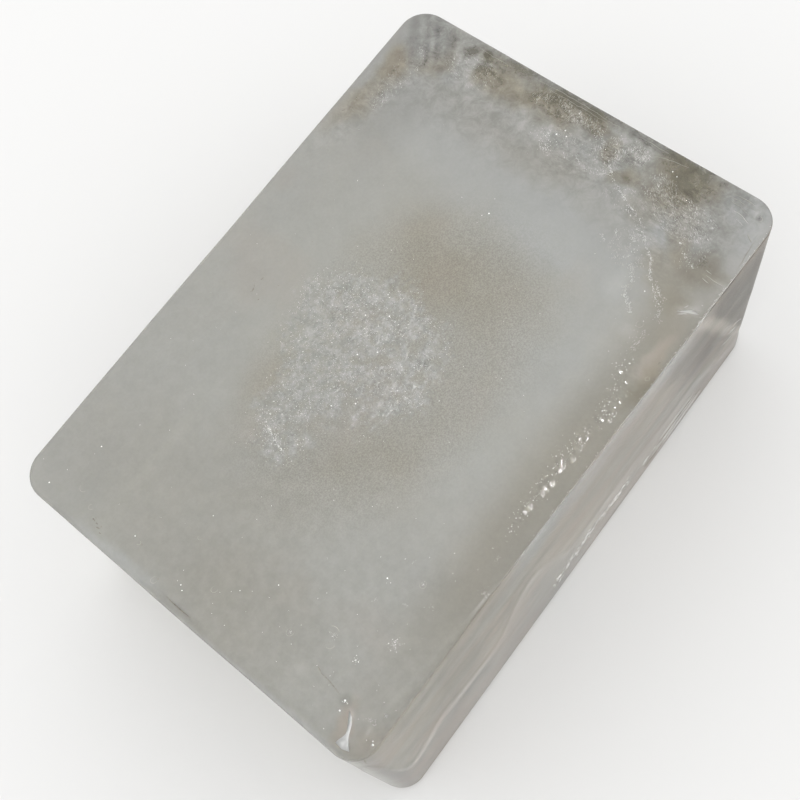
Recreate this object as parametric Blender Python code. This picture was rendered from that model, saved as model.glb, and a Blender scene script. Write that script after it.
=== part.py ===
"""A block of ice, frozen in a mould as one piece and a little melted since.

One closed solid, in metres, +Z up. It stands on its flat base, with the
origin at the middle of the base, its length along X and its height along Z.
The plan is a rectangle with rounded corners. The upper face and the base
differ a little from each other, as the mould tapered and the ice crept, and
the rim of the upper face is crisp along the front right and melted rounder
towards the left.
"""

import math

import bmesh
import bpy
from mathutils import Vector

# ---------------------------------------------------------------- dimensions
LENGTH = 0.3000  # along X
WIDTH = 0.2035  # along Y
HEIGHT = 0.1343  # along Z
CORNER_RADIUS = 0.0135  # the four upright corners, seen in plan

RIM_RADIUS_CRISP = 0.0014  # upper rim, where it is sharpest
RIM_RADIUS_MELTED = 0.0060  # upper rim, where it has melted most
BASE_RADIUS = 0.0030  # rounding between the sides and the base

# How far each corner has strayed from the plain rectangle (x, y), going round
# from back right: back right, back left, front left, front right.
TOP_CREEP = ((-0.0001, 0.0013), (0.0040, -0.0013), (-0.0021, 0.0015), (0.0006, -0.0009))
BASE_CREEP = ((0.0, 0.0), (-0.0001, 0.0), (-0.0010, -0.0023), (-0.0006, 0.0016))

WAVE = 0.00035  # height of the shallow melt waves on the sides
CHIP_DEPTH = 0.0012  # small knock on the front right upright corner
CHIP_HEIGHT = 0.020  # above the base
CHIP_REACH = 0.007

CORNER_STEPS = 8
LONG_STEPS = 16
SHORT_STEPS = 11
SIDE_LEVELS = 9
RIM_STEPS = 4
BASE_STEPS = 3

ICE_COLOUR = (0.37, 0.36, 0.34, 1.0)
CORNER_SIGNS = ((1, 1), (-1, 1), (-1, -1), (1, -1))


def smooth(x):
    x = min(1.0, max(0.0, x))
    return x * x * (3.0 - 2.0 * x)


def corners(rise):
    """The four corners of the plan, before rounding, at this share of the height."""
    found = []
    for (sx, sy), top, base in zip(CORNER_SIGNS, TOP_CREEP, BASE_CREEP):
        low = Vector((sx * LENGTH / 2 + base[0], sy * WIDTH / 2 + base[1]))
        high = Vector((sx * LENGTH / 2 + top[0], sy * WIDTH / 2 + top[1]))
        found.append(low.lerp(high, rise))
    return found


def outline(rise):
    """Points round the plan with their outward directions, counter-clockwise."""
    plan = corners(rise)
    found = []
    for i, here in enumerate(plan):
        before, after = plan[i - 1], plan[(i + 1) % 4]
        to_before = (before - here).normalized()
        to_after = (after - here).normalized()
        half = to_before.angle(to_after) / 2
        centre = here + (to_before + to_after).normalized() * (CORNER_RADIUS / math.sin(half))
        start = here + to_before * (CORNER_RADIUS / math.tan(half)) - centre
        sweep = math.pi - 2 * half
        for k in range(CORNER_STEPS + 1):
            turn = sweep * k / CORNER_STEPS
            arm = Vector((
                start.x * math.cos(turn) - start.y * math.sin(turn),
                start.x * math.sin(turn) + start.y * math.cos(turn),
            ))
            found.append((centre + arm, arm.normalized()))
        # the straight run to the next corner
        run_start = centre + Vector((
            start.x * math.cos(sweep) - start.y * math.sin(sweep),
            start.x * math.sin(sweep) + start.y * math.cos(sweep),
        ))
        half_next = (here - after).angle(plan[(i + 2) % 4] - after) / 2
        run_end = after - to_after * (CORNER_RADIUS / math.tan(half_next))
        out = Vector((to_after.y, -to_after.x))
        steps = LONG_STEPS if i % 2 == 0 else SHORT_STEPS
        for k in range(1, steps):
            found.append((run_start.lerp(run_end, k / steps), out))
    return found


def rim_radius(place):
    """The upper rim is crisp at the front right and rounder towards the left and the back."""
    along = smooth((place.x + LENGTH / 2) / LENGTH)
    front = smooth(0.5 - place.y / WIDTH)
    crisp = along * (0.55 + 0.45 * front)
    return RIM_RADIUS_MELTED + (RIM_RADIUS_CRISP - RIM_RADIUS_MELTED) * crisp


def melt(place, z):
    """How far the sides stand out or in: shallow waves, and one knock on a corner."""
    fade = smooth(z / 0.02) * smooth((HEIGHT - z) / 0.02)
    wave = WAVE * fade * (
        0.6 * math.sin(31.0 * place.x + 17.0 * z + 0.6)
        + 0.4 * math.sin(53.0 * place.y - 29.0 * z + 1.9)
    )
    knock = Vector((place.x - LENGTH / 2 + 0.004, place.y + WIDTH / 2 - 0.004, z - CHIP_HEIGHT))
    chip = CHIP_DEPTH * (1.0 - smooth(knock.length / (CHIP_REACH + 0.003)))
    return wave - chip


def make_mesh():
    rings = []

    def ring(rise, z_of, inset_of):
        row = []
        for place, out in outline(rise):
            z = z_of(place)
            at = place - out * inset_of(place) + out * melt(place, z)
            row.append((at.x, at.y, z))
        rings.append(row)

    # base rounding, from the flat of the base outwards and up
    for k in range(BASE_STEPS + 1):
        turn = math.pi / 2 * k / BASE_STEPS
        inset = BASE_RADIUS * (1.0 - math.sin(turn))
        z = BASE_RADIUS * (1.0 - math.cos(turn))
        ring(z / HEIGHT, lambda p, z=z: z, lambda p, d=inset: d)
    # sides
    top_of_sides = HEIGHT - RIM_RADIUS_MELTED - 0.001
    for k in range(1, SIDE_LEVELS + 1):
        z = BASE_RADIUS + (top_of_sides - BASE_RADIUS) * k / SIDE_LEVELS
        ring(z / HEIGHT, lambda p, z=z: z, lambda p: 0.0)
    # upper rim
    for k in range(RIM_STEPS + 1):
        turn = math.pi / 2 * k / RIM_STEPS
        ring(
            1.0 - 0.01 * (1.0 - k / RIM_STEPS),
            lambda p, t=turn: HEIGHT - rim_radius(p) * (1.0 - math.sin(t)),
            lambda p, t=turn: rim_radius(p) * (1.0 - math.cos(t)),
        )

    # the box that the rings fill, moved so that the base's middle is the origin
    xs = [p[0] for row in rings for p in row]
    ys = [p[1] for row in rings for p in row]
    mid = Vector(((min(xs) + max(xs)) / 2, (min(ys) + max(ys)) / 2))

    bm = bmesh.new()
    rows = [[bm.verts.new((x - mid.x, y - mid.y, z)) for x, y, z in row] for row in rings]
    count = len(rows[0])
    for low, high in zip(rows, rows[1:]):
        for k in range(count):
            n = (k + 1) % count
            bm.faces.new((low[k], low[n], high[n], high[k]))
    bm.faces.new(list(reversed(rows[0])))
    bm.faces.new(rows[-1])
    bmesh.ops.recalc_face_normals(bm, faces=bm.faces)
    mesh = bpy.data.meshes.new("ice_block")
    bm.to_mesh(mesh)
    bm.free()
    return mesh


def ice_material():
    material = bpy.data.materials.new("ice")
    material.use_nodes = True
    surface = material.node_tree.nodes["Principled BSDF"]
    surface.inputs["Base Color"].default_value = ICE_COLOUR
    surface.inputs["Roughness"].default_value = 0.25
    surface.inputs["Metallic"].default_value = 0.0
    surface.inputs["IOR"].default_value = 1.31
    surface.inputs["Transmission Weight"].default_value = 0.5
    return material


def main():
    for item in list(bpy.data.objects):
        bpy.data.objects.remove(item, do_unlink=True)
    mesh = make_mesh()
    mesh.materials.append(ice_material())
    block = bpy.data.objects.new("ice_block", mesh)
    bpy.context.scene.collection.objects.link(block)
    mesh.shade_smooth()
    mesh.set_sharp_from_angle(angle=math.radians(30))


main()
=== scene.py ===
"""Looks of the ice block: the melted surface, its frosted and clear areas, and
the bubbles, needles, filaments and cracks sealed in the ice. Metres, +Z up."""

import math

import bmesh
import bpy
import numpy as np
from mathutils import Matrix, Vector


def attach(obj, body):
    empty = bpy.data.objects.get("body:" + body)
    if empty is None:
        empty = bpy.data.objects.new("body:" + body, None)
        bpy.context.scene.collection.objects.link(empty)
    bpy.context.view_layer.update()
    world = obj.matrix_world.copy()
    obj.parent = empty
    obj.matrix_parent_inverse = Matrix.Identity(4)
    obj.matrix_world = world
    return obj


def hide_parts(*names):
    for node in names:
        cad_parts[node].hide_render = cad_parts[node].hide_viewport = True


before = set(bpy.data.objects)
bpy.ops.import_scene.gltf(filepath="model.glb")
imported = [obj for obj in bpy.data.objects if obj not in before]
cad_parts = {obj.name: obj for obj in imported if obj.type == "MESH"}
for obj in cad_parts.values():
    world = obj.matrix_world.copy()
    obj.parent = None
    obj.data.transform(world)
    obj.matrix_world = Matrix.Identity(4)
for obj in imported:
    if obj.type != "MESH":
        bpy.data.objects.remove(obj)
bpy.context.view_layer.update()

# ------------------------------------------------------------------ the block
LENGTH, WIDTH, HEIGHT = 0.3000, 0.2035, 0.1343
CORNER_RADIUS = 0.0135
RIM_RADIUS_CRISP, RIM_RADIUS_MELTED, RIM_RADIUS_BACK = 0.0009, 0.0085, 0.0022
BASE_RADIUS = 0.0030
TOP_CREEP = ((-0.0001, 0.0013), (0.0040, -0.0013), (-0.0021, 0.0015), (0.0006, -0.0009))
BASE_CREEP = ((0.0, 0.0), (-0.0001, 0.0), (-0.0010, -0.0023), (-0.0006, 0.0016))
CORNER_SIGNS = ((1, 1), (-1, 1), (-1, -1), (1, -1))
MID = np.array((-0.0004993, -0.0004386))  # the middle of the base, before it is moved to the origin
MM = 0.001

ICE_IOR = 1.31


def ramp(x, a, b):
    """0 below a, 1 above b, smooth between; a may be above b."""
    t = np.clip((x - a) / (b - a), 0.0, 1.0)
    return t * t * (3.0 - 2.0 * t)


# ---------------------------------------------------------------------- noise
def _lattice(ix, iy, iz, seed):
    h = (ix.astype(np.int64) * 374761393 + iy.astype(np.int64) * 668265263
         + iz.astype(np.int64) * 2147483647 + seed * 974634777) & 0xFFFFFFFF
    h = ((h ^ (h >> 13)) * 1274126177) & 0xFFFFFFFF
    h = ((h ^ (h >> 16)) * 2246822519) & 0xFFFFFFFF
    return ((h ^ (h >> 15)) & 0xFFFFFF) / float(0x7FFFFF) - 1.0


def noise(p, size, seed=0, stretch=(1.0, 1.0, 1.0)):
    """Smooth value noise from -1 to 1, with lumps about size metres across."""
    q = p / (size * np.array(stretch))
    base = np.floor(q).astype(np.int64)
    f = q - base
    f = f * f * f * (f * (f * 6 - 15) + 10)
    total = 0.0
    for dx in (0, 1):
        wx = f[:, 0] if dx else 1 - f[:, 0]
        for dy in (0, 1):
            wy = f[:, 1] if dy else 1 - f[:, 1]
            for dz in (0, 1):
                wz = f[:, 2] if dz else 1 - f[:, 2]
                total = total + wx * wy * wz * _lattice(base[:, 0] + dx, base[:, 1] + dy, base[:, 2] + dz, seed)
    return total


def fbm(p, size, seed=0, octaves=4, stretch=(1.0, 1.0, 1.0), gain=0.5):
    total, weight, sum_w = 0.0, 1.0, 0.0
    for k in range(octaves):
        total = total + weight * noise(p + 0.37 * k * size, size / 2 ** k, seed + 17 * k, stretch)
        sum_w += weight
        weight *= gain
    return total / sum_w


def spot(p, x, y, rx, ry, turn=0.0, soft=0.5):
    """A soft ellipse on the upper face, in millimetres: 1 inside, 0 outside."""
    c, s = math.cos(math.radians(turn)), math.sin(math.radians(turn))
    dx, dy = p[:, 0] / MM - x, p[:, 1] / MM - y
    u, v = (dx * c + dy * s) / rx, (-dx * s + dy * c) / ry
    return ramp(np.hypot(u, v), 1.0 + soft, 1.0 - soft)


# ---------------------------------------------------------- the outer surface
def spaced(low, high, count, near_ends, reach, focus=()):
    """count + 1 positions from low to high, closer together near both ends and at each focus."""
    x = np.linspace(low, high, 4001)
    density = 1.0 + near_ends * (np.exp(-(x - low) / reach) + np.exp(-(high - x) / reach))
    for middle, half, more in focus:
        density += more * np.exp(-(((x - middle) / half) ** 2))
    total = np.concatenate(([0.0], np.cumsum((density[1:] + density[:-1]) / 2)))
    return np.interp(np.linspace(0, total[-1], count + 1), total, x)


def ideal_shell(nx, ny, nz, ring=10):
    """Points and faces of a closed box whose grid lines are close together at its edges. Its base is one large face inside a few rings."""
    xs = spaced(-LENGTH / 2, LENGTH / 2, nx, 3.0, 0.004)
    ys = spaced(-WIDTH / 2, WIDTH / 2, ny, 3.0, 0.004)
    zs = spaced(0.0, HEIGHT, nz, 2.4, 0.004, focus=((0.050, 0.034, 0.9),))

    def key(i, j, k):
        return (i * (ny + 1) + j) * (nz + 1) + k

    quads = []

    def add(a, b, c, d):
        quads.append(np.stack([a, b, c, d], -1).reshape(-1, 4))

    i, j = np.meshgrid(np.arange(nx), np.arange(ny), indexing="ij")
    add(key(i, j, nz), key(i + 1, j, nz), key(i + 1, j + 1, nz), key(i, j + 1, nz))
    keep = np.minimum(np.minimum(i, nx - 1 - i), np.minimum(j, ny - 1 - j)) < ring
    i, j = i[keep], j[keep]
    add(key(i, j, 0), key(i, j + 1, 0), key(i + 1, j + 1, 0), key(i + 1, j, 0))
    i, k = np.meshgrid(np.arange(nx), np.arange(nz), indexing="ij")
    add(key(i, 0, k), key(i + 1, 0, k), key(i + 1, 0, k + 1), key(i, 0, k + 1))
    add(key(i, ny, k), key(i, ny, k + 1), key(i + 1, ny, k + 1), key(i + 1, ny, k))
    j, k = np.meshgrid(np.arange(ny), np.arange(nz), indexing="ij")
    add(key(0, j, k), key(0, j, k + 1), key(0, j + 1, k + 1), key(0, j + 1, k))
    add(key(nx, j, k), key(nx, j + 1, k), key(nx, j + 1, k + 1), key(nx, j, k + 1))
    quads = np.concatenate(quads)
    # the flat of the base, as one face
    a, b, c, d = ring, nx - ring, ring, ny - ring
    flat = [key(i, c, 0) for i in range(a, b)] + [key(b, j, 0) for j in range(c, d)]
    flat += [key(i, d, 0) for i in range(b, a, -1)] + [key(a, j, 0) for j in range(d, c, -1)]
    flat = np.array(flat[::-1])
    used, index = np.unique(np.concatenate([quads.ravel(), flat]), return_inverse=True)
    quads, flat = index[: quads.size].reshape(-1, 4), index[quads.size:]
    k = used % (nz + 1)
    j = (used // (nz + 1)) % (ny + 1)
    i = used // ((nz + 1) * (ny + 1))
    return np.stack([xs[i], ys[j], zs[k]], -1), quads, flat


def refined(mesh, levels):
    """Cuts the faces of the upper side more finely where levels(centres) says so: the number of cuts across each."""
    bm = bmesh.new()
    bm.from_mesh(mesh)
    bm.faces.ensure_lookup_table()
    centres = np.array([f.calc_center_median() for f in bm.faces])
    upper = centres[:, 2] > HEIGHT - 1e-6
    cuts = levels(centres) * upper
    groups = {}
    for index in np.flatnonzero(cuts):
        f = bm.faces[int(index)]
        for e in f.edges:
            groups[e] = max(groups.get(e, 0), int(cuts[index]))
    for n in sorted(set(groups.values())):
        chosen = [e for e, k in groups.items() if k == n]
        bmesh.ops.subdivide_edges(bm, edges=chosen, cuts=n, use_grid_fill=True)
    bm.to_mesh(mesh)
    bm.free()
    mesh.update()


def rim_radius(x, y):
    front = ramp(0.5 - y / WIDTH, 0.0, 1.0)
    along = ramp(x, -LENGTH / 2, LENGTH / 2) * (1 - front) + ramp(x, -LENGTH / 2, -0.035) * front
    melted = RIM_RADIUS_BACK + (RIM_RADIUS_MELTED - RIM_RADIUS_BACK) * ramp(y / WIDTH, 0.40, -0.40)
    return melted + (RIM_RADIUS_CRISP - melted) * along * (0.55 + 0.45 * front)


def rounded(p):
    """Rounds the ideal box: the upright corners, then the rim and the base, then the creep of the corners."""
    p = p.copy()
    half = np.array((LENGTH / 2, WIDTH / 2))
    inner = half - CORNER_RADIUS
    q = np.abs(p[:, :2]) - inner
    turn = (q > 0).all(1)
    big, far = q.max(1), np.hypot(q[:, 0], q[:, 1])
    scale = np.where(turn, big / np.where(far > 0, far, 1), 1)
    moved = inner + q * scale[:, None]
    p[:, :2] = np.where(turn[:, None], np.sign(p[:, :2]) * moved, p[:, :2])
    q = np.abs(p[:, :2]) - inner
    outer = np.maximum(q, 0)
    far = np.hypot(outer[:, 0], outer[:, 1])
    depth = CORNER_RADIUS - far - np.minimum(q.max(1), 0)  # inwards from the outline
    out = np.where(
        (far > 1e-9)[:, None], outer / np.where(far > 1e-9, far, 1)[:, None],
        np.stack([q[:, 0] >= q[:, 1], q[:, 0] < q[:, 1]], -1).astype(float),
    ) * np.sign(p[:, :2] + 1e-12)

    rho = rim_radius(p[:, 0], p[:, 1])
    for radius, height in ((rho, p[:, 2]), (np.full(len(p), BASE_RADIUS), HEIGHT - p[:, 2])):
        a = np.maximum(0, radius - depth)
        b = np.maximum(0, height - (HEIGHT - radius))
        both = (a > 0) & (b > 0)
        m, h = np.maximum(a, b), np.hypot(a, b)
        k = np.where(both, m / np.where(h > 0, h, 1), 1)
        p[:, :2] += out * (a * k - a)[:, None] * both[:, None]
        new = (HEIGHT - radius) + b * k
        if radius is rho:
            p[:, 2] = np.where(both, new, p[:, 2])
        else:
            p[:, 2] = np.where(both, HEIGHT - new, p[:, 2])
    rise = np.clip(p[:, 2] / HEIGHT, 0, 1)
    u, v = np.clip(p[:, 0] / (LENGTH / 2), -1, 1), np.clip(p[:, 1] / (WIDTH / 2), -1, 1)
    shift = np.zeros((len(p), 2))
    for (sx, sy), top, base in zip(CORNER_SIGNS, TOP_CREEP, BASE_CREEP):
        w = (1 + sx * u) * (1 + sy * v) / 4
        shift += w[:, None] * (np.array(base) * (1 - rise)[:, None] + np.array(top) * rise[:, None])
    p[:, :2] += shift - MID
    return p


def drops(p, spots):
    """Low round swellings at the given places of the upper face: (x, y, radius, height) in millimetres."""
    x, y = p[:, 0] / MM, p[:, 1] / MM
    total = np.zeros(len(p))
    for cx, cy, r, h in spots:
        near = np.flatnonzero((np.abs(x - cx) < r) & (np.abs(y - cy) < r))
        d = np.hypot(x[near] - cx, y[near] - cy) / r
        total[near] += h * np.clip(1 - d * d, 0, 1) ** 1.5
    return total * on_top(p)


# the larger wet swellings along the front of the upper face: x, y, radius (mm)
SWELLINGS = (
    (-26, -90, 1.5), (-23, -89.6, 2.3), (-15.1, -90.9, 1.8), (-12.2, -89.8, 2.1), (-9.4, -91.0, 2.4), (-2.6, -91.0, 1.6),
    (1.0, -89.0, 2.1), (-0.3, -90.9, 1.7), (4.7, -92.0, 2.1), (9.5, -91.1, 2.8), (13.8, -89.6, 1.6), (15.4, -91.6, 1.4),
    (26.3, -91.5, 2.5), (27.6, -94.8, 1.7), (31.1, -94.3, 2.0), (37.2, -93.6, 1.6), (48.5, -85.8, 1.5), (45.8, -90.6, 1.2),
)


def wet_swellings():
    g = np.random.default_rng(8)
    found = [(x, y, r * 1.05, r * 0.26) for x, y, r in SWELLINGS]
    for _ in range(95):
        x = g.uniform(-34, 66)
        y = float(np.interp(x, (-34, -20, 0, 15, 27, 38, 48, 66), (-91, -90, -90, -91, -92, -91.5, -87, -84))) + g.normal(0, 1.6)
        r = g.uniform(0.40, 0.85)
        found.append((x, y, r, r * g.uniform(0.14, 0.22)))
    return found


def soft_bumps():
    """Small soft bumps over the left part of the upper face."""
    g = np.random.default_rng(9)
    found = [(-142, 18, 2.4, 0.22), (-134, 35, 1.8, 0.16), (-123.5, -43, 2.6, 0.16), (-129.5, -5, 2.4, 0.12)]
    for _ in range(320):
        x, y = g.uniform(-146, -20), g.uniform(-96, 98)
        if g.random() < ramp(np.array(x), -10, -90) * (0.35 + 0.65 * ramp(np.array(y), 30, -40)):
            r = g.uniform(1.6, 3.4)
            found.append((x, y, r, r * g.uniform(0.02, 0.05)))
    return found


def relief(p, n):
    """How far each point of the surface stands in (never out), in metres."""
    x, y, z = (p / MM).T
    top = ramp(n[:, 2], 0.5, 0.9)
    front = ramp(-n[:, 1], 0.5, 0.9)
    side = 1 - top
    h = 0.20 * fbm(p, 0.045, 3, 2)  # slow melt undulation
    # upper face: it falls away very gently towards the front edge
    h -= top * 0.25 * ramp(y, -74, -103)
    # frosted centre and orange-peel texture round it
    h += top * frost_mask(p) * (0.20 * fbm(p, 0.0060, 11, 3) + 0.12 * noise(p, 0.0022, 15))
    h += top * peel_mask(p) * 0.030 * noise(p, 0.0022, 21)
    # wet swellings by the front edge
    h += drops(p, wet_swellings()) + 0.03 * wet_band(p) * noise(p, 0.0024, 31)
    # the needle field on the right
    h += top * needle_mask(p) * (0.14 * fbm(p, 0.0040, 41, 3, (0.8, 1.5, 1.0)))
    h += drops(p, soft_bumps())
    # upright faces: long low streaks, and a wavy ledge above the base
    h += side * 0.13 * fbm(p, 0.014, 61, 3, (6.0, 6.0, 1.0))
    rise = z - seam_height(p)
    h += side * ((0.24 - 0.15 * front * ramp(x, -16, -6)) * ramp(rise, 3.5, -3.5) - 0.16)
    h += side * front * 0.10 * comb(x, z)
    # knock on the front right upright corner
    knock = np.linalg.norm(p / MM - np.array((146.5, -96.5, 20.0)), axis=1)
    h -= 1.3 * ramp(knock, 11, 3)
    fade = ramp(z, 1.0, 6.0)
    dip = ramp(y, -66, -86) * ramp(x, -70, -35) * ramp(x, 95, 60)  # leaves room for the swellings
    return (np.minimum(h - 0.14 * side - (0.46 + 0.49 * dip) * top, -0.04) * fade) * MM


def comb(x, z):
    """Thin lines that run along the lower right of the front face."""
    return np.sin(z * 1.37 + 0.02 * x) * comb_mask(x, z)


def comb_mask(x, z):
    return ramp(z, 7, 11) * ramp(z, 28, 23) * ramp(x, 46, 58) * ramp(x, 108, 92)


def along(x, places):
    """A height read along the block from (x, height) pairs, with the corners eased."""
    xs, hs = zip(*places)
    return sum(np.interp(x + k, xs, hs) for k in (-3, -1, 1, 3)) / 4


# the wavy ledge on the front face: x, height (mm)
SEAM = ((-147, 125), (-143, 80), (-140, 57), (-135, 47), (-130, 47), (-120, 55), (-112, 61), (-100, 59), (-90, 55), (-70, 54),
        (-62, 60), (-57, 69), (-48, 82), (-40, 88), (-30, 82), (-20, 67), (-14, 53), (-5, 49), (10, 49), (30, 49), (60, 48),
        (80, 48), (95, 50), (103, 42), (115, 30), (128, 23), (150, 20))


def seam_height(p):
    x, y = p[:, 0] / MM, p[:, 1] / MM
    around = 50 + 9 * np.sin(x * 0.045 + 1.0) + 7 * np.sin(y * 0.06)
    w = ramp(y, -85, -101)
    return along(x, SEAM) * w + around * (1 - w)


# ------------------------------------------------------------- where each look is
def joined(*masks):
    """Soft union of masks."""
    left = 1.0
    for m in masks:
        left = left * (1.0 - np.clip(m, 0, 1))
    return 1.0 - left


def on_top(p):
    return ramp(p[:, 2], 0.118, 0.130)


def wander(p, far, size, seed):
    """The points, moved about by noise so that soft outlines turn ragged."""
    return p + far * MM * np.stack([
        fbm(p, size * MM, seed, 3), fbm(p, size * MM, seed + 1, 3), 0 * p[:, 0]], -1)


def frost_mask(p):
    w = wander(p, 9, 15, 101)
    m = joined(
        spot(w, -1, 22, 27, 29, 0, 0.36), spot(w, -38, 18, 29, 19, 14, 0.40), spot(w, -10, -8, 27, 17, -8, 0.36),
        0.8 * spot(w, 15, 0, 12, 16, 0, 0.5), 0.9 * spot(w, -60, 12, 8, 12, 0, 0.5),
    )
    gaps = joined(
        0.85 * spot(w, -50, 6, 5.0, 3.5, 0, 0.5), 0.7 * spot(w, -10, 4, 3, 2.5, 0, 0.5), 0.95 * spot(w, 8, -3, 4.5, 5, 0, 0.5),
        0.5 * spot(w, 20, -8, 5, 5, 0, 0.5), 0.5 * spot(w, -56, -11, 6, 4, 0, 0.5), 0.5 * spot(w, 0, -17, 4, 3, 0, 0.5),
        0.4 * spot(w, 22, 18, 4, 3, 0, 0.5), 0.4 * spot(w, -30, 2, 4, 3, 0, 0.5),
    )
    return m * (1 - gaps) * on_top(p)


def peel_mask(p):
    m = joined(spot(p, 32, -8, 46, 44, 0, 0.5), 0.9 * spot(p, -12, -2, 74, 52, 0, 0.3))
    return m * on_top(p)


def halo_mask(p):
    w = wander(p, 10, 28, 111)
    whole = spot(w, -6, -2, 76, 52, -2, 0.34)
    strength = 0.46 + 0.54 * joined(
        spot(w, 48, 12, 22, 36, 0, 0.6), 0.5 * spot(w, 44, -26, 20, 14, 0, 0.7), 0.4 * spot(w, -42, 40, 16, 9, 0, 0.6),
        0.35 * spot(w, -40, -24, 24, 10, -24, 0.7))
    strength = strength * (1 - 0.5 * spot(w, 0, 58, 30, 10, 0, 0.7))
    return whole * strength * (1 + 0.25 * fbm(p, 0.014, 115, 3)) * on_top(p)


def band_mask(p):
    """The browner band along the front of the upper face."""
    x, y = p[:, 0] / MM, p[:, 1] / MM
    ragged = 5 * fbm(p, 0.030, 121, 3)
    return ramp(y + ragged, -68, -90) * ramp(x, 125, 70) * (0.35 + 0.65 * ramp(x, -120, -60)) * on_top(p)


def wet_band(p):
    x, y = p[:, 0] / MM, p[:, 1] / MM
    middle = -90 - 0.05 * (x - 5)
    core = np.exp(-(((y - middle) / 5.0) ** 2)) * ramp(x, -36, -24) * ramp(x, 70, 50)
    return np.clip(core, 0, 1) * on_top(p)


def clear_mask(p):
    """Where the right end of the upper face is clear ice."""
    x, y = p[:, 0] / MM, p[:, 1] / MM
    w = wander(p, 12, 30, 131)
    wx = w[:, 0] / MM
    m = joined(
        ramp(wx, 122, 147) * ramp(y, -92, -74) * ramp(y, 104, 80),
        0.5 * spot(w, 128, 2, 12, 16, 0, 0.7), 0.55 * spot(w, 138, -6, 12, 24, 0, 0.6),
        0.6 * spot(w, 134, -60, 12, 18, 0, 0.6), 0.45 * spot(w, 128, -34, 12, 18, 20, 0.7),
        0.55 * spot(w, 100, 93, 28, 8, -6, 0.6), 0.45 * spot(w, 112, -88, 20, 9, 0, 0.7),
        0.30 * spot(w, 112, -66, 18, 12, 40, 0.8),
    )
    return np.clip(m * (1 + 0.30 * fbm(p, 0.018, 135, 3)), 0, 1) * on_top(p)


def needle_mask(p):
    w = wander(p, 8, 18, 141)
    m = joined(
        spot(w, 126, -68, 11, 15, 0, 0.5), spot(w, 137, -28, 9, 12, 20, 0.6), 0.9 * spot(w, 139, 10, 7, 17, 0, 0.6),
        0.7 * spot(w, 134, 58, 10, 14, 0, 0.6), 0.5 * spot(w, 110, -60, 22, 9, 42, 0.6), 0.6 * spot(w, 124, -12, 9, 14, 10, 0.6),
        0.6 * spot(w, 112, 84, 22, 7, -20, 0.6),
    )
    return m * on_top(p)


def smoke_mask(p):
    """The whitish smoke in the front right corner."""
    w = wander(p, 5, 14, 145)
    return joined(spot(w, 143, -90, 8, 9, 0, 0.6), 0.6 * spot(w, 133, -95, 10, 6, 0, 0.7)) * on_top(p)


def corner_facets(p):
    """Pale and dark stripes that run down from the back right corner."""
    x, y = p[:, 0] / MM, p[:, 1] / MM
    u = (x - 138) * 0.80 + (y - 91) * 0.60
    v = -(x - 138) * 0.60 + (y - 91) * 0.80
    here = ramp(np.abs(v + 2), 15, 7) * ramp(u, -22, -10) * on_top(p)
    lines = np.sin(v * 0.95 + 1.3 * np.sin(v * 0.33 + 1.0) + 0.05 * u)
    return here, lines * (0.7 + 0.5 * noise(p, 0.010, 151))


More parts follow.
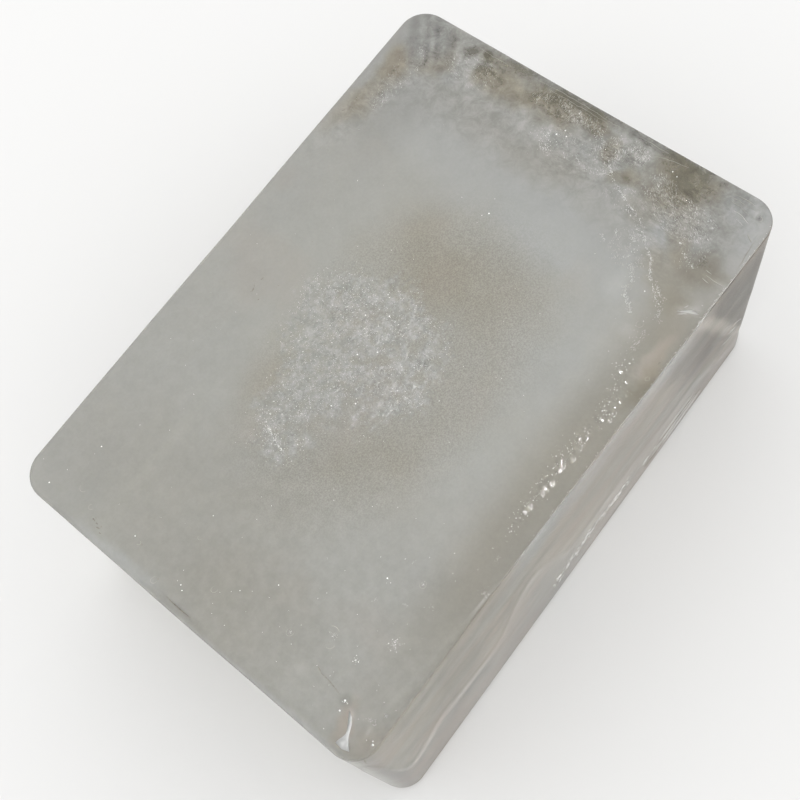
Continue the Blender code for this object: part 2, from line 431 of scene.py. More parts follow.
# soft patches of the upper face: middle x, y, half length, half width (mm), turn (degrees), and how much
# milkier, warmer and pinker they are
PATCHES = (
    (-112, 30, 34, 60, 0, -0.07, 0.15, 0.0), (-130, -25, 22, 40, 0, -0.06, 0.15, 0.0), (88, 10, 16, 60, -6, 0.10, -0.15, 0.0),
    (84, -30, 12, 26, -8, 0.05, -0.15, 0.0), (80, -62, 7, 6, 20, 0.16, -0.20, 0.0), (20, -60, 60, 10, 0, 0.03, -0.10, 0.0),
    (92, 76, 18, 14, 0, -0.13, 0.0, 0.0), (-80, 80, 40, 16, 0, 0.03, 0.0, 0.0), (115, 45, 12, 25, 0, -0.06, 0.10, 0.0),
    (112, 0, 9, 18, 0, -0.09, 0.20, 0.1), (-42, 42, 13, 8, 0, 0.0, 0.12, 0.12),
    # along the front
    (107, -92, 7, 8, 0, -0.40, 0.55, 0.0), (78, -92, 14, 7, 0, 0.02, 0.10, 0.15), (62, -95.5, 12, 4, -8, 0.32, 0.0, 0.5),
    (95, -80, 12, 9, 30, -0.18, 0.45, 0.0), (56, -98.5, 14, 2.6, 0, -0.08, 0.10, 0.0), (125, -85, 16, 8, 20, -0.22, 0.0, 0.0), (144, -86, 7, 9, 0, -0.12, -0.30, 0.0),
    (113, -66, 8, 5, 40, 0.05, -0.20, 0.0), (98, -68, 6, 5, 40, -0.08, 0.30, 0.1), (50, -97, 14, 3, 0, -0.18, 0.30, 0.0),
    # the clear right end
    (124.5, -32, 3.1, 6, 35, -0.36, 0.60, 0.0), (128, -38, 3.1, 5, -20, -0.28, 0.50, 0.0), (134, -22, 8, 3, 10, -0.38, 0.60, 0.1), (137, -32, 7, 6, 0, -0.30, 0.10, 0.0),
    (128, -12, 10, 8, 0, -0.20, 0.0, 0.0), (143, -8, 5, 9, 0, -0.48, 0.80, 0.0), (146, -5, 3, 7, 0, -0.25, 0.50, 0.0),
    (137, 14, 7, 13, 0, -0.50, 0.90, 0.0), (144, 15, 5, 12, 0, -0.35, 0.50, 0.0), (148.6, -15, 3.0, 66, 0, -0.48, 0.05, 0.0),
    (140, -64, 8, 11, 0, -0.58, 0.80, 0.0), (143, -50, 5, 9, 0, -0.48, 0.80, 0.0), (130, -58, 8, 9, 20, -0.38, 0.60, 0.0),
    (122, -70, 9, 8, 45, -0.22, 0.30, 0.0), (130, -45, 9, 5, 20, -0.28, 0.30, 0.1), (117, -52, 8, 9, 45, -0.16, 0.40, 0.0),
    (109, -76, 8, 5, 45, -0.18, 0.50, 0.1), (134, 40, 6, 15, 0, -0.32, 0.90, 0.3), (145, 45, 5, 16, 0, -0.45, 0.60, 0.1),
    (144, 66, 4.6, 2.6, -20, -0.74, 0.20, 0.0), (144, 58, 4.4, 2.8, 10, -0.58, 0.20, 0.0), (136, 54, 3.2, 5, 0, -0.50, 0.30, 0.0),
    (128, 76, 9, 7, -30, -0.40, 0.60, 0.1), (118, 92, 9, 8, 0, -0.26, 1.0, 0.6), (100, 90, 18, 7, -10, -0.15, 0.55, 0.15),
    (85, 97, 14, 5, 0, -0.08, 0.30, 0.15), (138, 76, 8, 5, 20, -0.36, 0.20, 0.0), (145, 80, 3, 8, 0, -0.24, 0.0, 0.0),
    # pale puffs among them
    (124, 65, 3.0, 3.5, 0, -0.06, -0.1, 0.0), (127, 55, 2, 2, 0, 0.18, 0.0, 0.0), (137, 32, 4, 2.5, 0, 0.25, 0.0, 0.0),
    (125, 22, 4, 2.5, 30, 0.20, 0.0, 0.0), (126, 9, 4, 3, 0, 0.22, 0.0, 0.0), (128, -11, 4, 3, 0, 0.20, -0.1, 0.0),
    (122, -18, 5, 3, 20, 0.18, 0.0, 0.0), (139, -34, 4, 5, 0, 0.20, 0.0, 0.0), (124, -42, 5, 2.5, 20, 0.18, 0.0, 0.0),
    (120, -47, 2, 8, -30, 0.12, -0.1, 0.0), (112, -60, 5, 3, 40, 0.10, -0.1, 0.0), (92, -57, 4, 3, 40, 0.12, 0.0, 0.0),
    (66, -79, 3, 4, 0, 0.16, -0.1, 0.0), (128, -72, 8, 2, 55, 0.14, 0.0, 0.0), (120, -78, 6, 1.6, 50, 0.12, 0.0, 0.0),
    (141, -82, 5, 2, 50, 0.14, -0.1, 0.0), (88, -93, 1.8, 5, 28, 0.40, -0.2, 0.0), (91, -96, 3.5, 2.6, 0, 0.22, -0.1, 0.0),
    (106.4, -95, 1.4, 5, 0, 0.22, 0.0, 0.0), (-132, -56, 3.2, 3, 0, 0.12, 0.0, 0.0), (-102, -81, 3.4, 3, 0, 0.12, 0.0, 0.0), (-145, 40, 4, 22, 0, 0.14, -0.3, 0.0), (-131, -79, 2.4, 2.4, 0, -0.28, 0.0, 0.0),
    (142.1, -94.2, 1.5, 1.4, 0, -0.60, -0.3, 0.0), (143.6, -93.0, 1.0, 1.6, 40, 0.25, -0.3, 0.0), (-143, -93, 8, 7, 0, -0.06, 0.1, 0.2), (-139, -82, 8, 3.5, 10, 0.0, 0.2, 0.7),
)


def looks(p, n):
    """For each point of the surface: milkiness, warmth, roughness, and how frosted, wet and so on it is."""
    x, y, z = (p / MM).T
    melted = joined(ramp(x, -18, -55) * ramp(y, -60, -90), ramp(x, -134, -144))  # here the milk reaches over the rounded rim
    top = ramp(n[:, 2], 0.35 - 0.30 * melted, 0.75 - 0.42 * melted)
    front = ramp(-n[:, 1], 0.5, 0.9)
    cloud = fbm(p, 0.055, 201, 4)
    fine = fbm(p, 0.010, 205, 3)
    halo, frost, wet, needles, peel = halo_mask(p), frost_mask(p), wet_band(p), needle_mask(p), peel_mask(p)
    clear, band, smoke = clear_mask(p), band_mask(p), smoke_mask(p)
    facet_here, facet = corner_facets(p)

    # upper face
    milk = 0.62 + 0.06 * cloud + 0.02 * fine
    milk -= 0.20 * halo
    milk -= 0.20 * band
    warm = 0.16 + 0.66 * halo + 0.45 * band + 0.10 * cloud
    pink = 0.30 * ramp(fbm(p, 0.035, 219, 3), 0.1, 0.6)
    w = wander(wander(p, 2.2, 5, 167), 5, 17, 161)
    for cx, cy, rx, ry, turn, more, warmer, pinker in PATCHES:
        here = spot(w if rx > 3 else p, cx, cy, rx, ry, turn, 0.6)
        milk += more * here
        warm += warmer * here
        pink += pinker * here
    warm -= 0.3 * smoke
    pink *= 1 - 0.7 * ramp(x, 66, 100)
    milk = milk * (1 - 0.8 * facet_here) + 0.8 * facet_here * (0.27 + 0.30 * facet)
    warm = warm * (1 - 0.8 * facet_here)
    # the rim of the left end is smooth and a little paler
    rim = ramp(x, -146.0, -149.5)
    milk += 0.12 * rim * ramp(y, -96, -80)
    warm -= 0.2 * rim

    # upright faces: greyer, long streaks along the block, clearer towards the corners and the base
    streak = fbm(p, 0.008, 231, 4, (9.0, 9.0, 1.0))
    rise = z - seam_height(p)
    side_milk = 0.22 + 0.10 * cloud + 0.12 * streak
    under = ramp(rise, 2.0, -4.0)
    side_milk += 0.08 * under
    under_rim = front * ramp(x, -62, -34) * ramp(x, 104, 66)
    side_milk += 0.30 * ramp(z, 122, 128) * under_rim + 0.12 * ramp(z, 106, 120) * under_rim
    side_milk -= 0.10 * ramp(x, -140, -147)
    # paler under the ledge on the left, browner over it
    side_milk -= front * 0.12 * ramp(rise, 6, 20) * ramp(x, -125, -80) * ramp(z, 118, 104)
    side_milk -= 0.14 * front * ramp(x, -20, -60) * ramp(rise, 0, -8)
    # painted shade on the front face: dark on the right beyond a pale slanting line, a dark slanting band and patch
    # before it, and a dark strip at the left end; where it lies the face is also less milky
    lean = (x - 111) * 0.90 + (z - 78) * 0.42
    shade = front * (0.74 * ramp(lean, 3, 7) + 0.60 * ramp(x, 60, 100) * ramp(z, 34, 60) * ramp(lean, 1.5, -3))
    blot = (x - 88) * 0.75 + (z - 86) * 0.62
    shade += 0.40 * front * np.exp(-((blot / 12) ** 2)) * ramp(x, 58, 76) * ramp(x, 112, 98) * ramp(z, 50, 70)
    shade += 0.60 * front * ramp(x, -138, -146)
    shade *= 1 - 0.5 * ramp(z, 123, 128)
    side_milk -= 0.10 * np.clip(shade, 0, 1)
    # away from the front the ice is evenly milky
    plain = 1 - front
    side_milk += plain * (0.10 + 0.06 * cloud)
    milk = milk * top + side_milk * (1 - top)
    warm = warm * top + (0.45 + 0.25 * cloud + 0.15 * streak + 0.4 * ramp(rise, -4, 4) - 0.9 * under_rim * ramp(z, 106, 120)) * (1 - 0.2 * plain) * (1 - top)
    rosy = ramp(x, -40, 0) * ramp(x, 90, 50) * ramp(rise, 0, 8)
    pink = pink * top + np.clip(0.30 + 0.5 * streak + 0.25 * under + 0.5 * rosy, 0, 1) * (1 - 0.5 * plain) * (1 - top)

    past = np.clip(x - 78, 0, None)
    bend = np.where(past < 26, past ** 2 / 52, past - 13) * 0.20 * MM
    rough = 0.245 + 0.02 * fine
    rough = rough * (1 - 0.15 * halo)
    rough = rough * (1 - 0.75 * joined(wet, 0.75 * band))
    rough = rough * (1 - 0.65 * clear) * (1 - 0.4 * needles) * (1 - 0.5 * facet_here)
    side_rough = 0.17 + 0.04 * streak
    rough = rough * top + side_rough * (1 - top)
    rough = rough + 0.12 * ramp(x, -15, -60) * ramp(y, -98, -101) * ramp(z, 122, 130)
    return {
        "bend": bend, "milk": np.clip(milk, -1.0, 1.2), "warm": np.clip(warm, 0, 1), "pink": np.clip(pink, 0, 1),
        "wild": top * joined(ramp(x, 86, 124) * ramp(y, 104, 88) * ramp(y, -98, -86), 0.8 * spot(p, 96, 90, 34, 9, -8, 0.6)),
        "smoke": smoke * top,
        "lumpy": top * ramp(x - 0.35 * y, 10, -90) * (0.5 + 0.5 * ramp(y, 60, -30)), "rough": np.clip(rough, 0.03, 0.265), "frost": frost * top, "peel": peel * top,
        "rise": np.clip(rise, -40, 40), "lean": np.clip(lean, -30, 30), "front": front * (1 - top), "comb": comb_mask(x, z) * front,
        "shade": np.clip(shade, 0, 1) * (1 - top), "wet": wet * top, "needles": needles * top, "clear": clear * top, "side": 1 - top,
    }


def mesh_of(name, points, quads=None, tris=None, flat=None, smooth=True):
    """A mesh object from arrays."""
    mesh = bpy.data.meshes.new(name)
    rows = []
    if quads is not None:
        rows.append((quads, 4))
    if tris is not None:
        rows.append((tris, 3))
    if flat is not None:
        rows.append((flat.reshape(1, -1), flat.size))
    loops = np.concatenate([r.ravel() for r, _ in rows]).astype(np.int32)
    sizes = np.concatenate([np.full(len(r), s) for r, s in rows]).astype(np.int32)
    starts = np.concatenate(([0], np.cumsum(sizes)[:-1])).astype(np.int32)
    mesh.vertices.add(len(points))
    mesh.vertices.foreach_set("co", points.astype(np.float32).ravel())
    mesh.loops.add(len(loops))
    mesh.loops.foreach_set("vertex_index", loops)
    mesh.polygons.add(len(sizes))
    mesh.polygons.foreach_set("loop_start", starts)
    mesh.update(calc_edges=True)
    mesh.validate()
    mesh.polygons.foreach_set("use_smooth", np.full(len(mesh.polygons), smooth, dtype=bool))
    ob = bpy.data.objects.new(name, mesh)
    bpy.context.scene.collection.objects.link(ob)
    return ob


def give(mesh, values):
    for name, v in values.items():
        a = mesh.attributes.new(name, "FLOAT", "POINT")
        a.data.foreach_set("value", v.astype(np.float32))


# ------------------------------------------------------------------ materials
class Nodes:
    """Short ways to add nodes to a material."""

    def __init__(self, name):
        self.material = bpy.data.materials.new(name)
        self.material.use_nodes = True
        self.tree = self.material.node_tree
        self.surface = self.tree.nodes["Principled BSDF"]
        self.output = self.tree.nodes["Material Output"]
        self.at = self.add("ShaderNodeTexCoord").outputs["Object"]

    def add(self, kind, **settings):
        node = self.tree.nodes.new(kind)
        for k, v in settings.items():
            setattr(node, k, v)
        return node

    def put(self, socket, value):
        if isinstance(value, bpy.types.NodeSocket):
            self.tree.links.new(value, socket)
        else:
            socket.default_value = value

    def attr(self, name):
        return self.add("ShaderNodeAttribute", attribute_name=name).outputs["Fac"]

    def math(self, op, a, b=0.0, c=0.0, clamp=False):
        node = self.add("ShaderNodeMath", operation=op, use_clamp=clamp)
        for socket, v in zip(node.inputs, (a, b, c)):
            self.put(socket, v)
        return node.outputs[0]

    def remap(self, v, a, b, c, d, clamp=True):
        node = self.add("ShaderNodeMapRange", clamp=clamp)
        for socket, value in zip(node.inputs, (v, a, b, c, d)):
            self.put(socket, value)
        return node.outputs[0]

    def mix(self, fac, a, b, blend="MIX"):
        node = self.add("ShaderNodeMix", data_type="RGBA", blend_type=blend)
        self.put(node.inputs[0], fac)
        self.put(node.inputs[6], a)
        self.put(node.inputs[7], b)
        return node.outputs[2]

    def lerp(self, fac, a, b):
        node = self.add("ShaderNodeMix", data_type="FLOAT")
        for index, v in zip((0, 2, 3), (fac, a, b)):
            self.put(node.inputs[index], v)
        return node.outputs[0]

    def noise(self, scale, detail=3.0, rough=0.5, stretch=None, distort=0.0, turn=0.0):
        where = self.at
        if stretch:
            m = self.add("ShaderNodeMapping")
            m.inputs["Scale"].default_value = stretch
            m.inputs["Rotation"].default_value = (0.0, 0.0, turn)
            self.put(m.inputs["Vector"], self.at)
            where = m.outputs[0]
        node = self.add("ShaderNodeTexNoise")
        self.put(node.inputs["Vector"], where)
        node.inputs["Scale"].default_value = scale
        node.inputs["Detail"].default_value = detail
        node.inputs["Roughness"].default_value = rough
        node.inputs["Distortion"].default_value = distort
        return node.outputs["Fac"]

    def cells(self, scale, feature="F1", out="Distance"):
        node = self.add("ShaderNodeTexVoronoi", feature=feature)
        self.put(node.inputs["Vector"], self.at)
        node.inputs["Scale"].default_value = scale
        return node.outputs[out]

    def bump(self, height, distance, strength=1.0, normal=None):
        node = self.add("ShaderNodeBump")
        self.put(node.inputs["Strength"], strength)
        node.inputs["Distance"].default_value = distance
        self.put(node.inputs["Height"], height)
        if normal is not None:
            self.put(node.inputs["Normal"], normal)
        return node.outputs["Normal"]


def rgb(r, g, b):
    """sRGB 0-255 as a linear colour."""
    def lin(c):
        c /= 255
        return c / 12.92 if c <= 0.04045 else ((c + 0.055) / 1.055) ** 2.4
    return (lin(r), lin(g), lin(b), 1.0)


def ice_material():
    m = Nodes("ice_surface")
    milk, warm, pink, rough = m.attr("milk"), m.attr("warm"), m.attr("pink"), m.attr("rough")
    frost, peel, wet, side = m.attr("frost"), m.attr("peel"), m.attr("wet"), m.attr("side")
    needles, clear, lumpy = m.attr("needles"), m.attr("clear"), m.attr("lumpy")
    wild, smoke = m.attr("wild"), m.attr("smoke")
    up = m.math("SUBTRACT", 1.0, side)

    rise, lean, front, comb, shade = m.attr("rise"), m.attr("lean"), m.attr("front"), m.attr("comb"), m.attr("shade")
    height = m.add("ShaderNodeSeparateXYZ")
    m.put(height.inputs[0], m.at)
    height = height.outputs["Z"]

    # milky all over: soft lumps and a very fine grain
    mottle, fine = m.noise(120, 3, 0.6), m.noise(620, 2, 0.65)
    milk = m.math("ADD", milk, m.remap(mottle, 0.3, 0.7, -0.035, 0.035))
    milk = m.math("ADD", milk, m.remap(fine, 0.3, 0.7, -0.035, 0.035))
    # soft blotches a few millimetres across, towards the front left
    blotch = m.noise(215, 2, 0.55)
    milk = m.math("MULTIPLY_ADD", lumpy, m.remap(blotch, 0.35, 0.65, -0.055, 0.055), milk)
    # orange peel: grain of pale and brown points
    grain = m.noise(1700, 2, 0.7)
    milk = m.math("MULTIPLY_ADD", peel, m.remap(grain, 0.36, 0.64, -0.22, 0.22), milk)
    # frost crystals in broken patches, denser towards the middle
    lumps = m.noise(210, 4, 0.66)
    edge = m.math("MULTIPLY_ADD", frost, -0.265, 0.70)
    cover = m.math("MULTIPLY", m.math("SUBTRACT", lumps, edge), 4.2)
    cover = m.math("MULTIPLY", m.math("ADD", cover, 0.5, clamp=True), m.remap(frost, 0.0, 0.15, 0, 1))
    crystal = m.noise(520, 3, 0.80, distort=0.4)
    frosted = m.math("ADD", m.remap(crystal, 0.32, 0.68, 0.27, 0.97, clamp=False), m.remap(mottle, 0.3, 0.7, -0.27, 0.27))
    milk = m.lerp(cover, milk, frosted)
    warm = m.math("MULTIPLY", warm, m.math("MULTIPLY_ADD", cover, -0.75, 1.0))
    # clear end: streaks of fine bubbles along the frozen-in grain, over dark pockets
    strands = m.noise(430, 4, 0.75, (1.5, 0.55, 1.0), turn=math.radians(-50), distort=0.6)
    specks = m.noise(900, 3, 0.8)
    veil = m.math("MULTIPLY", needles, m.remap(strands, 0.44, 0.66, -0.14, 0.50))
    veil = m.math("ADD", veil, m.math("MULTIPLY", clear, m.remap(specks, 0.52, 0.72, -0.03, 0.30)))
    milk = m.math("ADD", milk, veil)
    clouds = m.noise(165, 5, 0.74, distort=0.5)
    milk = m.math("MULTIPLY_ADD", wild, m.remap(clouds, 0.36, 0.66, -0.26, 0.26), milk)
    swirl = m.noise(130, 3, 0.6, distort=2.2)
    milk = m.math("MULTIPLY_ADD", smoke, m.remap(swirl, 0.38, 0.62, -0.18, 0.16), milk)
    # upright faces: a painted highlight along the pale wavy ledge and another along a pale slanting line, fine lines
    # along the lower right, soft mottling
    drift = m.noise(42, 3, 0.6)
    step = m.math("ABSOLUTE", m.math("MULTIPLY_ADD", drift, 9.0, m.math("ADD", rise, 1.5)))
    ledge = m.math("MULTIPLY", m.remap(step, 0.8, 6.0, 1.0, 0.0), m.remap(m.noise(30, 2, 0.5), 0.36, 0.60, 0.15, 1.0))
    milk = m.math("MULTIPLY_ADD", m.math("MULTIPLY", ledge, front), 0.70, milk)
    # painted highlight along the pale slanting line
    slant_highlight = m.math("ABSOLUTE", m.math("MULTIPLY_ADD", drift, 9.0, m.math("SUBTRACT", lean, 6.0)))
    slant_highlight = m.math("MULTIPLY", m.remap(slant_highlight, 0.8, 5.0, 1.0, 0.0), m.remap(rise, 0.0, 6.0, 0.0, 1.0))
    milk = m.math("MULTIPLY_ADD", m.math("MULTIPLY", slant_highlight, front), 0.60, milk)
    waves = m.math("SINE", m.math("ADD", m.math("MULTIPLY", height, 1850.0), m.remap(drift, 0.3, 0.7, -1.6, 1.6, clamp=False)))
    milk = m.math("MULTIPLY_ADD", m.math("MULTIPLY", waves, comb), 0.80, milk)
    # stains on the upright faces; the same noise also varies the painted shade
    stains_and_shade = m.noise(75, 4, 0.68, (0.45, 0.45, 1.0))
    milk = m.math("MULTIPLY_ADD", m.math("MULTIPLY_ADD", front, 0.17, m.math("MULTIPLY", side, 0.07)), m.remap(stains_and_shade, 0.36, 0.64, -1.0, 1.0), milk)
    blush = m.noise(55, 3, 0.6, (0.4, 0.4, 1.0), distort=0.4)
    pink = m.math("MULTIPLY_ADD", front, m.remap(blush, 0.4, 0.62, -0.50, 0.85), pink)
    pink = m.math("MULTIPLY_ADD", m.math("MULTIPLY", up, warm), m.remap(blush, 0.45, 0.65, 0.0, 0.18), pink)
    deep = m.math("MULTIPLY", m.math("MULTIPLY", milk, -1.9, clamp=True), up)
    milk = m.math("ADD", milk, 0.0, clamp=True)

    clear_colour = m.mix(warm, rgb(148, 149, 149), rgb(143, 139, 125))
    milk_colour = m.mix(warm, rgb(219, 221, 222), rgb(216, 208, 195))
    dark = m.math("MULTIPLY", deep, m.remap(strands, 0.40, 0.60, 1.0, 0.45))
    clear_colour = m.mix(dark, clear_colour, rgb(86, 82, 68))
    colour = m.mix(milk, clear_colour, milk_colour)
    colour = m.mix(m.math("MULTIPLY", pink, 0.30, clamp=True), colour, rgb(206, 180, 166))
    # painted shade: the front face is mixed toward dark brown by the shade attribute, less along the painted slanting
    # highlight
    painted_shade_amount = m.math("MULTIPLY", shade, m.math("MULTIPLY_ADD", m.math("MULTIPLY", slant_highlight, front), -0.8, m.remap(stains_and_shade, 0.38, 0.62, 1.0, 0.65)), clamp=True)
    colour = m.mix(painted_shade_amount, colour, rgb(54, 38, 22))
    m.put(m.surface.inputs["Base Color"], colour)
    m.put(m.surface.inputs["Roughness"], rough)
    # relief finer than the mesh
    n = m.bump(m.noise(520, 1, 0.5), 0.0004, m.math("MULTIPLY_ADD", peel, 0.22, m.math("MULTIPLY", up, 0.03)))
    n = m.bump(crystal, 0.0010, m.math("MULTIPLY", cover, 0.50), n)
    n = m.bump(m.noise(330, 1, 0.45), 0.0010, m.math("MULTIPLY", wet, 0.35), n)
    n = m.bump(strands, 0.0008, m.math("MULTIPLY", needles, 0.6), n)
    n = m.bump(m.attr("bend"), 1.0, front, n)
    m.put(m.surface.inputs["Normal"], n)
    s = m.surface.inputs
    s["IOR"].default_value = ICE_IOR
    s["Transmission Weight"].default_value = 0.6
    absorb = m.add("ShaderNodeVolumeAbsorption")
    absorb.inputs["Color"].default_value = (0.85, 0.86, 0.81, 1.0)
    absorb.inputs["Density"].default_value = 14.0
    m.tree.links.new(absorb.outputs[0], m.output.inputs["Volume"])
    return m.material


def air_material(name, colour, rough, spread=0.25):
    """Trapped air: white, with a little difference from bubble to bubble."""
    m = Nodes(name)
    v = m.noise(350, 2, 0.5)
    c = m.mix(m.remap(v, 0.3, 0.7, 0, 1), tuple(k * (1 - spread) for k in colour[:3]) + (1.0,), colour)
    m.put(m.surface.inputs["Base Color"], c)
    m.put(m.surface.inputs["Roughness"], m.remap(m.noise(700), 0.3, 0.7, rough * 0.7, rough * 1.3))
    m.surface.inputs["IOR"].default_value = 1.31
    return m.material


# ------------------------------------------------------------- sealed in the ice
rng = np.random.default_rng(20)


def turns(count):
    """Random rotation matrices."""
    q = rng.normal(size=(count, 4))
    q /= np.linalg.norm(q, axis=1)[:, None]
    w, x, y, z = q.T
    return np.stack([
        1 - 2 * (y * y + z * z), 2 * (x * y - z * w), 2 * (x * z + y * w),
        2 * (x * y + z * w), 1 - 2 * (x * x + z * z), 2 * (y * z - x * w),
        2 * (x * z - y * w), 2 * (y * z + x * w), 1 - 2 * (x * x + y * y),
    ], -1).reshape(-1, 3, 3)


TETRA = np.array(((1, 1, 1), (1, -1, -1), (-1, 1, -1), (-1, -1, 1))) / 1.732
TETRA_FACES = np.array(((0, 1, 2), (0, 3, 1), (0, 2, 3), (1, 3, 2)))
OCTA = np.array(((1, 0, 0), (-1, 0, 0), (0, 1, 0), (0, -1, 0), (0, 0, 1), (0, 0, -1)), float)
OCTA_FACES = np.array(((0, 2, 4), (2, 1, 4), (1, 3, 4), (3, 0, 4), (2, 0, 5), (1, 2, 5), (3, 1, 5), (0, 3, 5)))


def scattered(name, centres, sizes, shape=TETRA, faces=TETRA_FACES, smooth=False):
    """Many copies of one small closed shape, each turned its own way, in one mesh."""
    count = len(centres)
    sizes = np.asarray(sizes, float).reshape(count, -1)
    pts = np.einsum("nij,nkj->nki", turns(count), shape[None] * sizes[:, None, :]) + centres[:, None, :]
    pts[..., 2] = np.minimum(pts[..., 2], HEIGHT - 0.00004)
    tri = (faces[None] + (np.arange(count) * len(shape))[:, None, None]).reshape(-1, 3)
    return mesh_of(name, pts.reshape(-1, 3), tris=tri, smooth=smooth)


def inside(p, margin=0.004):
    """Keeps the points well inside the block."""
    hx, hy = LENGTH / 2 - 0.004 - margin, WIDTH / 2 - 0.003 - margin
    r = CORNER_RADIUS
    q = np.abs(p[:, :2]) - (np.array((hx, hy)) - r)
    d = np.hypot(*np.maximum(q, 0).T) + np.minimum(q.max(1), 0) - r
    return (d < 0) & (p[:, 2] > margin) & (p[:, 2] < HEIGHT - margin * 0.6 - 0.0012)


def cloud_points(count):
    """Places for the fog: thick in the heart of the block, thin towards the clear rims."""
    found = []
    total = 0
    while total < count:
        p = rng.uniform(-1, 1, (count * 2, 3)) * np.array((LENGTH / 2, WIDTH / 2, HEIGHT / 2)) + np.array((0, 0, HEIGHT / 2))
        d = np.sqrt((p[:, 0] / 0.125) ** 2 + (p[:, 1] / 0.085) ** 2 + ((p[:, 2] - 0.072) / 0.052) ** 2)
        dens = ramp(d, 1.25, 0.45) * (0.55 + 0.8 * fbm(p, 0.045, 301, 3)) + 0.04
        p = p[(rng.random(len(p)) < dens) & inside(p)]
        found.append(p)
        total += len(p)
    return np.concatenate(found)[:count]


# ------------------------------------------------------------------ the block
def detail_levels(c):
    """How many cuts across each cell of the upper face."""
    p = c.copy()
    wet = (wet_band(p) > 0.25) & (p[:, 1] > -0.0975)
    mid = (frost_mask(p) > 0.02) | (needle_mask(p) > 0.05)
    low = (p[:, 0] < -0.040) & (p[:, 1] < 0.010) & (p[:, 0] > -0.143) & (p[:, 1] > -0.097)
    rim = (np.abs(p[:, 0]) > 0.144) | (np.abs(p[:, 1]) > 0.0975)
    return np.where(rim, 0, np.where(wet, 5, np.where(mid, 2, np.where(low, 1, 0))))


nx, ny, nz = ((150, 104, 62))
base, quads, flat = ideal_shell(nx, ny, nz)
block = mesh_of("ice", base, quads=quads, flat=flat)
refined(block.data, detail_levels)
shell = np.zeros(len(block.data.vertices) * 3)
block.data.vertices.foreach_get("co", shell)
shell = rounded(shell.reshape(-1, 3))
block.data.vertices.foreach_set("co", shell.ravel())
block.data.update()
normals = np.zeros(len(shell) * 3)
block.data.vertex_normals.foreach_get("vector", normals)
normals = normals.reshape(-1, 3)
shell = shell + normals * relief(shell, normals)[:, None]
shell[:, 2] = np.maximum(shell[:, 2], 0.0)
block.data.vertices.foreach_set("co", shell.ravel())
block.data.polygons.foreach_set("use_smooth", np.ones(len(block.data.polygons), dtype=bool))
block.data.update()
give(block.data, looks(shell, normals))
block.data.materials.append(ice_material())
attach(block, "root")
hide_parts("ice_block")


def upper(xy, lift=0.0):
    """Points on the upper surface, from millimetres along and across it."""
    p = np.column_stack([np.asarray(xy, float) * MM, np.full(len(xy), HEIGHT)])
    p[:, 2] += relief(p, np.tile((0.0, 0.0, 1.0), (len(p), 1))) + lift * MM
    return p


def sealed(piece, material):
    piece.data.materials.append(material)
    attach(piece, "root")


# --------------------------------------------------------------- sealed pieces
white = air_material("air_white", (0.90, 0.905, 0.895, 1.0), 0.3, 0.18)
glassy = air_material("air_glassy", (0.90, 0.905, 0.90, 1.0), 0.4, 0.12)
frosty = air_material("air_frosty", (0.60, 0.60, 0.59, 1.0), 0.4, 0.30)
faint = air_material("air_faint", (0.36, 0.355, 0.325, 1.0), 0.2, 0.25)
hazy = air_material("air_hazy", (0.55, 0.545, 0.53, 1.0), 0.2, 0.25)

p = cloud_points(36000)
sealed(scattered("fog_bubbles", p, rng.uniform(0.12, 0.34, (len(p), 1)) * MM), white)

# frost crystals on and just under the surface of the centre
count = 42000
xy = rng.uniform((-78, -36), (32, 60), (count, 2))
q = np.column_stack([xy * MM, np.full(count, HEIGHT)])
chance = frost_mask(q) ** 1.3 * (0.16 + 0.55 * np.clip(fbm(q, 0.007, 401, 4) + 0.15, 0, 1))
xy = xy[rng.random(count) < chance]
half = np.exp(rng.normal(math.log(0.115), 0.38, len(xy))).clip(0.06, 0.32)
sizes = np.column_stack([half * rng.uniform(0.9, 2.2, len(xy)), half, half * 0.7]) * MM
bright = rng.random(len(xy)) < 0.07
for name, some, material in (("frost_crystals", ~bright, frosty), ("frost_glints", bright, glassy)):
    sealed(scattered(name, upper(xy[some], -0.03), sizes[some], OCTA, OCTA_FACES), material)
print("crystals", len(xy))


def needles_at(name, xy, lengths, widths, heading, spread, material, lift=-0.04, shape=None, faces=None):
    """Slim bubbles lying along a heading (degrees from +X) in the upper surface."""
    shape, faces = (OCTA, OCTA_FACES) if shape is None else (shape, faces)
    count = len(xy)
    angle = np.radians(np.broadcast_to(heading, count) + rng.normal(0, spread, count))
    dip = rng.normal(0, 0.12, count)
    c, s_ = np.cos(angle), np.sin(angle)
    rot = np.zeros((count, 3, 3))
    rot[:, :, 0] = np.column_stack([c * np.cos(dip), s_ * np.cos(dip), np.sin(dip)])
    rot[:, :, 1] = np.column_stack([-s_, c, 0 * c])
    rot[:, :, 2] = np.cross(rot[:, :, 0], rot[:, :, 1])
    size = np.column_stack([lengths / 2, widths, widths]) * MM
    pts = np.einsum("nij,nkj->nki", rot, shape[None] * size[:, None, :]) + upper(xy, lift)[:, None, :]
    pts[..., 2] = np.minimum(pts[..., 2], HEIGHT - 0.00004)
    tri = (faces[None] + (np.arange(count) * len(shape))[:, None, None]).reshape(-1, 3)
    ob = mesh_of(name, pts.reshape(-1, 3), tris=tri, smooth=False)
    sealed(ob, material)
    return ob


